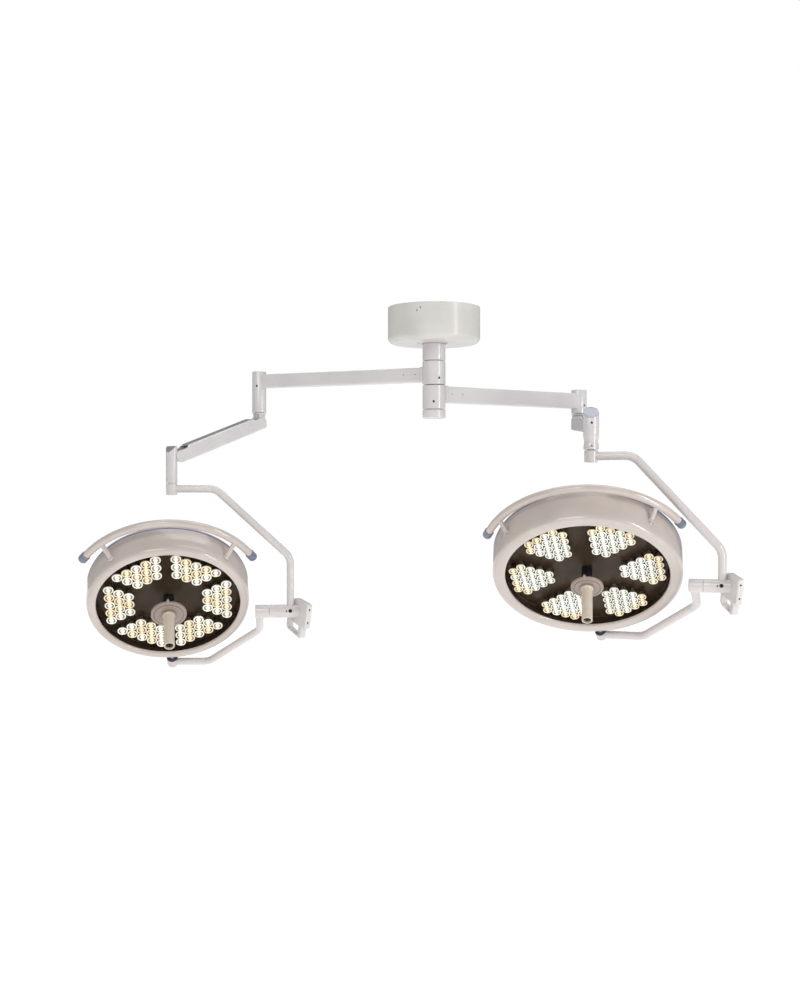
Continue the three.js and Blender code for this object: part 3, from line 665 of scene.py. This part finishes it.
def rod_slot(way):
    """The slot in a lug that the tie rod's eye turns in."""
    return along(block((-35, 35), (-5.5, 5.5), (-30, 30)), shift(way * 26, 0, -18))


def build_rear_block(lamp, at):
    side, wide = lamp["name"], lug_width(lamp)
    top = KNUCKLE_BOTTOM - 2.0 - joint_place(f"{side}_spring_arm_tilt").z / MM
    lug = SPRING_ARM["lug"]
    head = disc(lamp["knuckle"]["radius"] - 0.5, top - 5, top, 1.2, 72)
    web = along(bar(2 * lug, wide, 3, 0, top - 2), turn(-90, "Y"))
    body = welded(head, disc(14, top - 2, top + 60, 0.8, 40), along(web, turn(90, "Z")),
                  along_y(disc(lug, -wide / 2, wide / 2, 1.2, 56)))
    body = cut(body, rod_slot(1))
    piece(f"{side}_swivel_block", body, at, "enamel", f"{side}_swivel", [f"{side}_rear_block"])


def casing_outline(height, cheek, length, neck, shoulder, steps=14):
    """The side view of the spring casing: a bar with a cheek at each end.

    The rear cheek is round above and squared below, with its lower corner cut off. The front cheek is round,
    and deeper below the axis than above it.
    """
    low, half, deeper = -height / 2, steps // 2, 4
    points = []
    for i in range(half + 1):
        a = math.radians(90 + 90 * i / half)
        points.append((cheek * math.cos(a), cheek * math.sin(a)))
    points += [(4 - cheek, low + 6), (12 - cheek, low), (length - neck, low)]
    for i in range(steps + 1):
        a = math.radians(-90 + 180 * i / steps)
        points.append((length + cheek * math.cos(a), (cheek if a > 0 else cheek + deeper) * math.sin(a)))
    return points + [(length - neck, cheek), (length - shoulder, -low), (shoulder, -low), (neck, cheek)]


def build_spring_arm(lamp, at, rod_at):
    side, spring, S = lamp["name"], lamp["spring"], SPRING_ARM
    body, length, wide, high = f"{side}_spring_arm", S["length"], spring["width"], spring["height"]
    outline = casing_outline(high, S["cheek"], length, S["neck"], S["shoulder"])
    profile = loft([[(x, y, z) for x, z in outline] for y in (-wide, wide)])
    ends = (-S["cheek"] - 5, length + S["cheek"] + 5)
    outer = bar(wide, high, 8, *ends, 0.5)
    inner = bar(wide - 2 * S["wall"], high - 2 * S["wall"], 6, ends[0] - 5, ends[1] + 5, 0.5)
    shell = combine(outer, [profile], "INTERSECT")
    slot_length, half = S["shoulder"] + S["cheek"] + 10, wide / 2 - S["wall"]
    slots = [block((x, x + slot_length), (-half, half), (-60, 60))
             for x in (-S["cheek"] - 10, length - S["shoulder"])]
    shell = cut(shell, inner, *slots)
    seam = 3
    for x in (S["shoulder"] + 14, length - S["shoulder"] - 14):
        groove = combine(bar(wide + 4, high + 4, 9, x, x + 1.4, 0.1),
                         [bar(wide - 1.2, high - 1.2, 7.6, x - seam, x + seam, 0.1)], "DIFFERENCE")
        shell = cut(shell, groove)
    piece(f"{side}_casing", shell, at, "enamel", body, [f"{side}_spring_casing"])
    strip = along(bar(wide - 12, 3.4, 1.6, S["shoulder"] + 2, length - S["shoulder"] - 2),
                  shift(0, 0, high / 2 + 0.2))
    piece(f"{side}_casing_cover", strip, at, "grey_cover", body)

    turns, steps = 18, 20
    start, end, coil, wire, lift = 84, length - 84, 8, 1.8, 12
    rise = (end - start) / turns / math.tau
    path = []
    for i in range(turns * steps + 1):
        a = math.tau * i / steps
        x = start + (end - start) * i / (turns * steps)
        point = Vector((x, coil * math.cos(a), coil * math.sin(a) + lift))
        path.append((point, Vector((rise, -coil * math.sin(a), coil * math.cos(a))).normalized()))
    piece(f"{side}_coil_spring", tube(path, wire, 10), at, "steel", body, [f"{side}_balance_spring"])

    eyes = [along(along_y(disc(7, -4, 4, 0.8, 36)), shift(x, 0, 0)) for x in (0, length)]
    rod_mesh = welded(along_x(disc(4, 0, length, 0.5, 28)), *eyes)
    piece(f"{side}_levelling_rod", rod_mesh, rod_at, "steel", f"{side}_tie_rod", [f"{side}_tie_rod"])


# ---------------------------------------------------------------- link

def build_link(lamp, at):
    side, link, wide = lamp["name"], lamp["link"], lug_width(lamp)
    body, axis, r = f"{side}_link", SPRING_ARM["reach"], link["width"] / 2
    low = -link["drop"] + 21 + link["seam"]
    waist = link["collar"] + 0.5
    lug, cheek = SPRING_ARM["lug"], SPRING_ARM["cheek"]
    bulge = min(r, waist + 2.4)
    top = link["top"]
    column = lathe([(0, top), (r - 3, top), (r - 0.8, top - 0.8), (r, top - 3), (r, -38), (r - 0.6, -48),
                    (waist + 0.2, -62), (waist - 0.4, -67), (bulge - 0.8, -75), (bulge, -82),
                    (bulge, low + 2), (bulge - 1.4, low), (PIN["bore"], low), (PIN["bore"], low + 44),
                    (0, low + 44)], 80)
    column = along(column, shift(axis, 0, 0))
    eye = along_y(disc(lug, -wide / 2, wide / 2, 1.2, 56))
    solid = welded(column, eye, bar(wide, 2 * lug - 1, 1, 0, axis))
    tools = [rod_slot(-1)]
    for s in (1, -1):
        tools.append(block((cheek - 78, cheek + 2), (s * wide / 2, s * (wide / 2 + 40)), (-26, top + 40)))

    def above(height):
        """All that lies above the sloping cap's face moved up by height."""
        place = shift(axis, 0, link["crest"] + height) @ turn(link["slope"], "Y")
        return along(block((-80, 80), (-50, 50), (0, 80)), place)

    whole = cut(solid, *tools)
    cap = bevelled(cut(combine(whole.copy(), [above(-4.5)], "INTERSECT"), above(0)), 1.2, 3, 30)
    solid = cut(whole, above(-5))
    spots = [(0, 3, 4.2), (0, -82, 2.8)] if side == "right" else [(-58, -62, 2.0), (-58, -86, 2.0)]
    places = [on_cylinder(r if z > -50 else bulge, a, z, size) for a, z, size in spots]
    solid, pins = screwed(solid, [(p + Vector((axis, 0, 0)), d, size) for p, d, size in places])
    piece(f"{side}_link_block", bevelled(solid, 0.8, 2, 50), at, "enamel", body, [f"{side}_front_block"])
    screw_piece(f"{side}_link_screws", pins, at, body)
    piece(f"{side}_link_cap", cap, at, "link_cap" if side == "right" else "grey_cover", body,
          [f"{side}_front_cap"])


# ---------------------------------------------------------------- yoke and control box

def stub_inner(lamp):
    """Where the stub begins, measured from the head's middle."""
    return lamp["head"]["radius"] + lamp["head"]["stub_gap"]


def build_yoke(lamp, at, box_at):
    side, yoke, link, head = lamp["name"], lamp["yoke"], lamp["link"], lamp["head"]
    body, stub_z, r = f"{side}_yoke", -yoke["drop"], STUB["radius"]
    reach, (elbow_x, elbow_z) = yoke["reach"], yoke["elbow"]
    corners = [(0, 0, 0), (elbow_x, 0, 0), (reach, 0, -elbow_z), (reach, 0, stub_z)]
    shaft = tube(bent(corners, yoke["bend"]), yoke["tube"], 48)
    c = link["collar"]
    collar = lathe([(0, -23), (c - 2.5, -23), (c - 0.6, -22.2), (c, -20.4), (c, 19), (c - 1.6, 21),
                    (PIN["radius"], 21), (PIN["radius"], 63), (0, 63)], 72)
    seam = reach - head["axis_reach"] + stub_inner(lamp) + STUB["collar"]
    room = along(along_x(disc(r + 0.3, seam - 10, reach + 60, 0.2, 72)), shift(0, 0, stub_z))
    piece(f"{side}_yoke_bar", cut(welded(shaft, collar), room), at, "yoke_enamel", body,
          [f"{side}_yoke_tube"])

    housing = along_x(lathe([(0, seam + STUB["seam"]), (r - 1.2, seam + STUB["seam"]), (r, seam + 2.2),
                             (r, reach + 70), (0, reach + 70)], 72))
    bore = along_x(disc(PIN["bore"], seam - 10, seam + 44, 0.2, 40))
    slab = loft([[(x, y, z) for y, z in ((-200, -200), (200, -200), (200, 200), (-200, 200))]
                 for x in (-BOX["thickness"] / 2 - 0.3, 200)])
    slab = along(slab, shift(reach + BOX["offset"], 0, 0) @ turn(BOX["yaw"], "Z"))
    big, small = (reach - 1, -r + 0.4, 3), (reach - 15, -r + 0.4, 2)
    housing = cut(housing, bore, slab)
    housing, pins = screwed(housing, [(big, (0, -1, 0.1), 7.0), (small, (0, -1, 0.08), 3.0)])
    place = shift(0, 0, stub_z)
    piece(f"{side}_stub", along(housing, place), at, "yoke_enamel", body, [f"{side}_stub_housing"])
    screw_piece(f"{side}_stub_screws", along(pins, place), at, body)

    face = BOX["thickness"] / 2
    plate = bevelled(prism(BOX_OUTLINE, face, BOX["thickness"]), 4, 4, 25)
    window = prism(BOX_WINDOW, face + 5, BOX["thickness"] + 10)
    corners = [e for e in window.edges if abs(e.verts[0].co.x - e.verts[1].co.x) > 0.01]
    bmesh.ops.bevel(window, geom=corners, offset=5 * MM, segments=5, affect="EDGES", profile=0.5)
    plate = cut(plate, window)
    spots = [((0, -65, z), (0, -1, 0), 3.6) for z in (23, -27)]
    plate, pins = screwed(plate, spots)
    piece(f"{side}_box", plate, box_at, "yoke_enamel", body, [f"{side}_control_box"])
    screw_piece(f"{side}_box_screws", pins, box_at, body)

    keypad = bevelled(prism([(-22, -36), (54, -36), (54, 34), (-22, 34)], face + 2.5, 2.2), 0.9, 3, 30)
    places = [(0, 4), (32, 4)]
    holes = joined(*[along(along_x(disc(8.6, face - 5, face + 10, 0.3, 40)), shift(0, -a, b))
                     for a, b in places])
    lamps = joined(*[along(along_x(disc(2.1, face + 1.4, face + 10, 0.2, 20)), shift(0, -a, -20))
                     for a in (-6, 5, 16, 27, 38)])
    piece(f"{side}_keypad", cut(keypad, holes, lamps), box_at, "keypad", body, [f"{side}_keypad_panel"])
    for name, (a, b) in zip(("power_button", "dimmer_button"), places):
        cap = lathe([(0, face + 4.2), (4.5, face + 4.4), (6.2, face + 5.2), (7.4, face + 4.9),
                     (8, face + 4.2), (8, face + 1.8), (0, face + 1.8)], 48)
        piece(f"{side}_{name}_cap", along(along_x(cap), shift(0, -a, b)), box_at, "button", f"{side}_{name}",
              [f"{side}_{name}"])


# ---------------------------------------------------------------- bow

def build_bow(lamp, at):
    side, head, yoke, R = lamp["name"], lamp["head"], lamp["yoke"], lamp["head"]["radius"]
    body, inner, r = f"{side}_bow", stub_inner(lamp), STUB["radius"]
    pivot_z = head["behind_axis"] + PIVOT["behind"]
    end = inner + STUB["collar"]
    collar = along_x(lathe([(0, inner), (r - 2, inner), (r - 0.5, inner + 0.6), (r, inner + 2.2),
                            (r, end - 1.4), (r - 1.4, end), (PIN["radius"], end), (PIN["radius"], end + 42),
                            (0, end + 42)], 72))
    start, pivot_y = inner + yoke["tube"] + 3, R + PIVOT["length"] - 18
    corners = [(start, 0, 0), (start, R * 0.36, 6), (R * 0.47, pivot_y - 4, pivot_z - 5),
               (0, pivot_y, pivot_z)]
    shaft = tube(bent(corners, yoke["bend"] * 0.9), yoke["tube"], 48)
    room = along(along_y(disc(PIVOT["block"] + 0.3, R - 20, R + 80, 0.2, 64)), shift(0, 0, pivot_z))
    piece(f"{side}_bow_bar", cut(welded(collar, shaft), room), at, "yoke_enamel", body, [f"{side}_bow_tube"])

    low, b = R + PIVOT["seal"], PIVOT["block"]
    high = R + PIVOT["length"]
    knob = along_y(lathe([(0, low + 4), (b - 1, low + 4), (b, low + 5), (b, high - 8), (b - 1.8, high - 3.4),
                          (b - 6, high), (0, high)], 64))
    axle = along_y(disc(7, R - 14, low + 6, 0.6, 36))
    piece(f"{side}_pivot_knob", along(welded(knob, axle), shift(0, 0, pivot_z)), at, "head_enamel", body,
          [f"{side}_pivot_block"])
    ring = along_y(washer(7.2, b + 0.4, low, low + 3.8, 0.8, 64))
    piece(f"{side}_pivot_seal", along(ring, shift(0, 0, pivot_z)), at, "seal", body)


# ---------------------------------------------------------------- lamp head

TINTS = {"w": (0.92, 0.90, 0.82), "c": (0.94, 0.88, 0.70), "o": (0.93, 0.80, 0.58), "n": (0.88, 0.91, 0.88)}


def lens_places(pods):
    """Each lens of one pod that points along +X: its place and tint."""
    pitch = pods["pitch"]
    places = []
    for i, row in enumerate(pods["rows"]):
        x = pods["first"] + i * pitch * 0.866
        places += [(x, (k - (len(row) - 1) / 2) * pitch, TINTS[tint]) for k, tint in enumerate(row)]
    return places


def lens_front(radius):
    """The profile of a lens from its side inwards: raised rim, shallow moat and domed middle."""
    shares = [(1, 4), (0.99, 2), (0.95, 0.6), (0.89, 0), (0.82, 0.5), (0.72, 1.8), (0.56, 2.8), (0.44, 2.6),
              (0.3, 1.2), (0.15, 0.4), (0, 0.1)]
    return [(radius * share, z) for share, z in shares]


def build_lenses(lamp, at, body):
    side, pods = lamp["name"], lamp["pods"]
    front, radius = 20, pods["lens"]
    bm = bmesh.new()
    tint_layer = bm.loops.layers.float_color.new("tint")
    uv_layer = bm.loops.layers.uv.new("lens")
    profile, sides = lens_front(radius), 28
    cup = [(1, 4), (0.98, 5.5), (0.82, 14), (0.5, 25), (0.5, 28)]
    backs = []
    for pod in range(6):
        spin = Matrix.Rotation(math.radians(60 * pod), 3, "Z")
        for x, y, tint in lens_places(pods):
            centre = spin @ Vector((x, y, front))
            rows = []
            for r, z in profile:
                rows.append([(bm.verts.new((centre + Vector(p)) * MM), p[0] / radius, p[1] / radius)
                             for p in circle(r, z, sides)])
            for a, b in zip(rows, rows[1:]):
                for i in range(sides):
                    j = (i + 1) % sides
                    quad = list(dict.fromkeys([a[i], b[i % len(b)], b[j % len(b)], a[j]]))
                    face = bm.faces.new([v for v, _, _ in quad])
                    for loop, (_, u, v) in zip(face.loops, quad):
                        loop[uv_layer].uv = (u, v)
                        loop[tint_layer] = (*tint, 1)
            backs.append(along(loft([circle(radius * share, z, 20) for share, z in cup], caps=False),
                               shift(*centre)))
    piece(f"{side}_lens_fronts", bm, at, "lens", body, [f"{side}_led_modules"], sharp=50)
    piece(f"{side}_lens_cups", joined(*backs), at, "lens_body", body)


def build_rail(lamp, at, body):
    side, rail, head = lamp["name"], lamp["rail"], lamp["head"]

    def arc_point(degrees, radius=rail["radius"], z=rail["behind"]):
        a = math.radians(degrees)
        return Vector((radius * math.cos(a), -radius * math.sin(a), z))

    def heading(degrees):
        a = math.radians(degrees)
        return Vector((-math.sin(a), -math.cos(a), 0))

    def room():
        return disc(head["radius"] + 0.3, 2, head["wall"] + 20, 0.2, 160)

    (first, last), steps, sunk = rail["span"], 72, 12
    stations = [first + (last - first) * i / steps for i in range(steps + 1)]
    bars = [tube([(arc_point(d), heading(d)) for d in stations], rail["tube"], 40)]
    for d in rail["posts"]:
        start, stop = arc_point(d), arc_point(d, head["radius"] - sunk, rail["behind"] * 0.35)
        way = (stop - start).normalized()
        bars.append(cut(tube([(start, way), (stop, way)], 8.5, 28), room()))
        gap = rail["radius"] - head["radius"]
        base = start.lerp(stop, (gap - 1) / (gap + sunk))
        flare = along(lathe([(0, -6), (13, -6), (12, 0), (9, 3.5), (8, 7), (0, 7)], 32), pointing(base, -way))
        bars.append(cut(flare, room()))
    piece(f"{side}_rail", joined(*bars), at, "head_enamel", body, [f"{side}_handle_rail"])
    t = rail["tube"] + 3
    for end, degrees, way in (("outer", first, -1), ("inner", last, 1)):
        profile = [(0, 0), (t - 1.5, 0), (t, 1.5), (t, 8), (t - 0.8, 9), (t - 0.8, 10.5), (t, 11.5), (t, 26),
                   (t - 1.6, 30.5), (t - 5, 33.4), (0, 34)]
        cap = along(lathe(profile, 48), pointing(arc_point(degrees) + heading(degrees) * way * 0.3,
                                                 heading(degrees) * way))
        piece(f"{side}_rail_end_{end}", cap, at, "rail_end", body, [f"{side}_rail_cap_{end}"])


def build_head(lamp, at):
    side, head = lamp["name"], lamp["head"]
    body, R, opening, wall = f"{side}_head", head["radius"], head["opening"], head["wall"]
    crest = (opening + R) / 2
    front = softened([(opening, 9), (opening + 2, 4), (opening + 9, 1), (crest, 0), (R - 9, 2.5), (R - 3, 9),
                      (R, 20)])
    rim = [*front, (R, wall), (R - 4, wall), (R - 4, 24), (R - 12, 12.5), (opening, 12.5), (opening, 9)]
    hole = along(along_y(disc(7.8, R - 30, R + 10, 0.2, 40)), shift(0, 0, PIVOT["behind"]))
    piece(f"{side}_rim", cut(lathe(rim, 192), hole), at, "head_enamel", body, [f"{side}_front_ring"])

    inside = HANDLE["stem"] + 1
    glass = lathe([(inside, 13), (opening + 6, 13), (opening + 6, 16), (inside, 16), (inside, 13)], 128)
    piece(f"{side}_cover_glass", glass, at, "front_glass", body, [f"{side}_glass_cover"])
    floor = 48.5
    tray = [(inside, floor), (60, floor), (opening + 3, floor), (opening + 5, floor - 2), (opening + 5, 17.5),
            (R - 12, 17.5), (R - 12, 24), (opening + 9, 26), (opening + 9, floor + 3), (inside, floor + 3),
            (inside, floor)]
    piece(f"{side}_reflector_tray", lathe(tray, 128), at, "tray", body, [f"{side}_led_tray"])
    build_lenses(lamp, at, body)

    gasket = lathe([(R - 6, wall + 0.3), (R - 0.6, wall + 0.3), (R + 0.5, wall + 1.4), (R + 0.5, wall + 4.8),
                    (R - 0.6, wall + 6), (R - 6, wall + 6), (R - 6, wall + 0.3)], 160)
    piece(f"{side}_rim_gasket", gasket, at, "gasket", body, [f"{side}_gasket"])
    base = wall + 6.3
    outer = softened([(R - 0.5, base), (R - 3, base + 9), (R - 21, base + 28), (R * 0.69, base + 45),
                      (R * 0.35, base + 51.5), (0, base + 53)], 3)
    inner = softened([(0, base + 50), (R * 0.35, base + 48.5), (R * 0.68, base + 42), (R - 24, base + 25),
                      (R - 7, base + 8), (R - 4.5, base)], 3)
    dome = lathe([*outer, *inner], 160)
    near, far, bed = R * 0.60, R * 0.615, base + 44.2
    channel = lathe([(near, bed), (far, bed), (far, base + 60), (near, base + 60), (near, bed)], 128)
    piece(f"{side}_back_dome", cut(dome, channel), at, "head_enamel", body, [f"{side}_rear_cover"])
    build_rail(lamp, at, body)
    build_handle(lamp, at)


def build_handle(lamp, at):
    side, H = lamp["name"], HANDLE
    flange, bore = lamp["handle"]["flange"], H["bore"]
    low, face = -H["stand_off"], -H["stand_off"] - H["thickness"]
    socket = [(0, face - 34), (bore - 2, face - 34), (bore - 0.8, face - 32.5), (bore - 0.8, face + 1),
              (30, face + 1), (31.5, face), (flange - 14, face), (flange - 13, face + 2.6),
              (flange - 10.5, face + 2.6), (flange - 9.5, face), (flange - 4, face + 0.2),
              (flange - 1.2, face + 1.8), (flange, face + 4.4), (flange, low - 2.4),
              (flange - 1.4, low - 0.6), (flange - 5, low), (0, low)]
    knob = along(lathe([(0, 0), (5, 0), (5, 13), (4, 15), (0, 15.6)], 24),
                 pointing((0, -flange + 3, face + 5.5), (0, -1, 0)))
    piece(f"{side}_handle_flange", welded(lathe(socket, 112), knob), at, "flange", f"{side}_head",
          [f"{side}_handle_socket"])
    stem = disc(H["stem"], low + 0.05, 48.2, 1, 72)
    piece(f"{side}_handle_stem", stem, at, "dark_steel", f"{side}_head")
    grip, top, end = H["grip"], face - 0.4, face - lamp["handle"]["length"]
    sleeve = [(bore, end + 1), (bore + 1.2, end), (grip - 1.8, end), (grip - 0.4, end + 1), (grip, end + 2.4),
              (grip, top - 15), (grip + 1.2, top - 10), (grip + 3.6, top - 6.4), (grip + 4, top - 5),
              (grip + 4, top - 1), (grip + 3, top), (bore, top), (bore, end + 1)]
    body = f"{side}_handle"
    piece(f"{side}_grip_sleeve", lathe(sleeve, 72), at, "grip", body, [f"{side}_sterile_handle"])
    snug = bore - 0.02
    plug = lathe([(0, end + 12), (4, end + 11), (7, end + 9.6), (snug, end + 9), (snug, end + 40),
                  (0, end + 40)], 56)
    slots = [block((-a, a), (-b, b), (end, end + 17)) for a, b in ((11, 1.8), (1.8, 11))]
    piece(f"{side}_grip_insert", cut(plug, *slots), at, "grip_inside", body)


def build_lamp(lamp):
    at = lamp_frames(lamp)
    build_arm(lamp, at["arm"], at["arm_length"])
    build_rear_block(lamp, at["swivel"])
    build_spring_arm(lamp, at["spring_arm"], at["tie_rod"])
    build_link(lamp, at["link"])
    build_yoke(lamp, at["yoke"], at["box"])
    build_bow(lamp, at["bow"])
    build_head(lamp, at["head"])


build_column()
build_lamp(LEFT)
build_lamp(RIGHT)

# ---------------------------------------------------------------- stage, light and camera

FLOOR_Z = -2.6


def build_stage():
    size = 40
    corners = [(-size, -size), (size, -size), (size, size), (-size, size)]
    bm = bmesh.new()
    bm.faces.new([bm.verts.new((x, y, FLOOR_Z)) for x, y in corners])
    floor = as_object("studio_floor", bm)
    material, tree, shader = new_material("floor_paint", 0.8)
    cloud = add_noise(tree, 0.6, 2.0)
    tone = add_ramp(tree, cloud.outputs["Fac"], (0.50, 0.50, 0.50), (0.52, 0.52, 0.52))
    tree.links.new(tone.outputs["Color"], shader.inputs["Base Color"])
    shader.inputs["Emission Color"].default_value = (1, 1, 1, 1)
    shader.inputs["Emission Strength"].default_value = 0.84
    floor.data.materials.append(material)

    world = bpy.data.worlds.new("studio")
    bpy.context.scene.world = world
    world.use_nodes = True
    tree = world.node_tree
    background = tree.nodes["Background"]
    shown = tree.nodes.new("ShaderNodeBackground")
    shown.inputs["Color"].default_value = (1, 1, 1, 1)
    shown.inputs["Strength"].default_value = 1.0
    coordinates = tree.nodes.new("ShaderNodeTexCoord")
    split = tree.nodes.new("ShaderNodeSeparateXYZ")
    tree.links.new(coordinates.outputs["Generated"], split.inputs["Vector"])
    height = add_range(tree, split.outputs["Z"], 0, 1)
    height.inputs["From Min"].default_value = -1
    sky = add_ramp(tree, height.outputs["Result"], (0.62, 0.60, 0.58), (0.94, 0.96, 1.0), 0.2, 0.8)
    tree.links.new(sky.outputs["Color"], background.inputs["Color"])
    background.inputs["Strength"].default_value = 0.42
    path = tree.nodes.new("ShaderNodeLightPath")
    mix = tree.nodes.new("ShaderNodeMixShader")
    tree.links.new(path.outputs["Is Camera Ray"], mix.inputs["Fac"])
    tree.links.new(background.outputs["Background"], mix.inputs[1])
    tree.links.new(shown.outputs["Background"], mix.inputs[2])
    tree.links.new(mix.outputs["Shader"], tree.nodes["World Output"].inputs["Surface"])


def add_light(name, place, target, size, power, color=(1, 1, 1)):
    """A soft rectangular lamp at a place, aimed at a target."""
    light = bpy.data.lights.new(name, "AREA")
    light.shape = "RECTANGLE"
    light.size, light.size_y = size
    light.energy = power
    light.color = color
    obj = bpy.data.objects.new(name, light)
    obj.location = place
    obj.rotation_euler = (Vector(target) - Vector(place)).to_track_quat("-Z", "Y").to_euler()
    bpy.context.scene.collection.objects.link(obj)


def build_lights():
    middle = (-0.1, -0.1, -0.75)
    add_light("strip_right", (3.4, -2.6, -0.4), middle, (0.6, 3.0), 60)
    add_light("key_front", (-1.6, -4.2, 1.6), middle, (2.6, 2.0), 60, (1, 0.985, 0.97))
    add_light("ceiling_soft", (0.2, 0.6, 2.6), middle, (4.0, 3.0), 60)


def build_camera():
    data = bpy.data.cameras.new("camera")
    data.sensor_width = 36
    data.lens = 47.88
    data.clip_end = 200
    camera = bpy.data.objects.new("camera", data)
    camera.location = (-0.1292, -5.054, -0.733)
    camera.rotation_euler = (math.radians(90), 0, 0)
    bpy.context.scene.collection.objects.link(camera)
    bpy.context.scene.camera = camera


build_stage()
build_lights()
build_camera()
bpy.context.scene.view_settings.view_transform = "Standard"

bpy.context.view_layer.update()
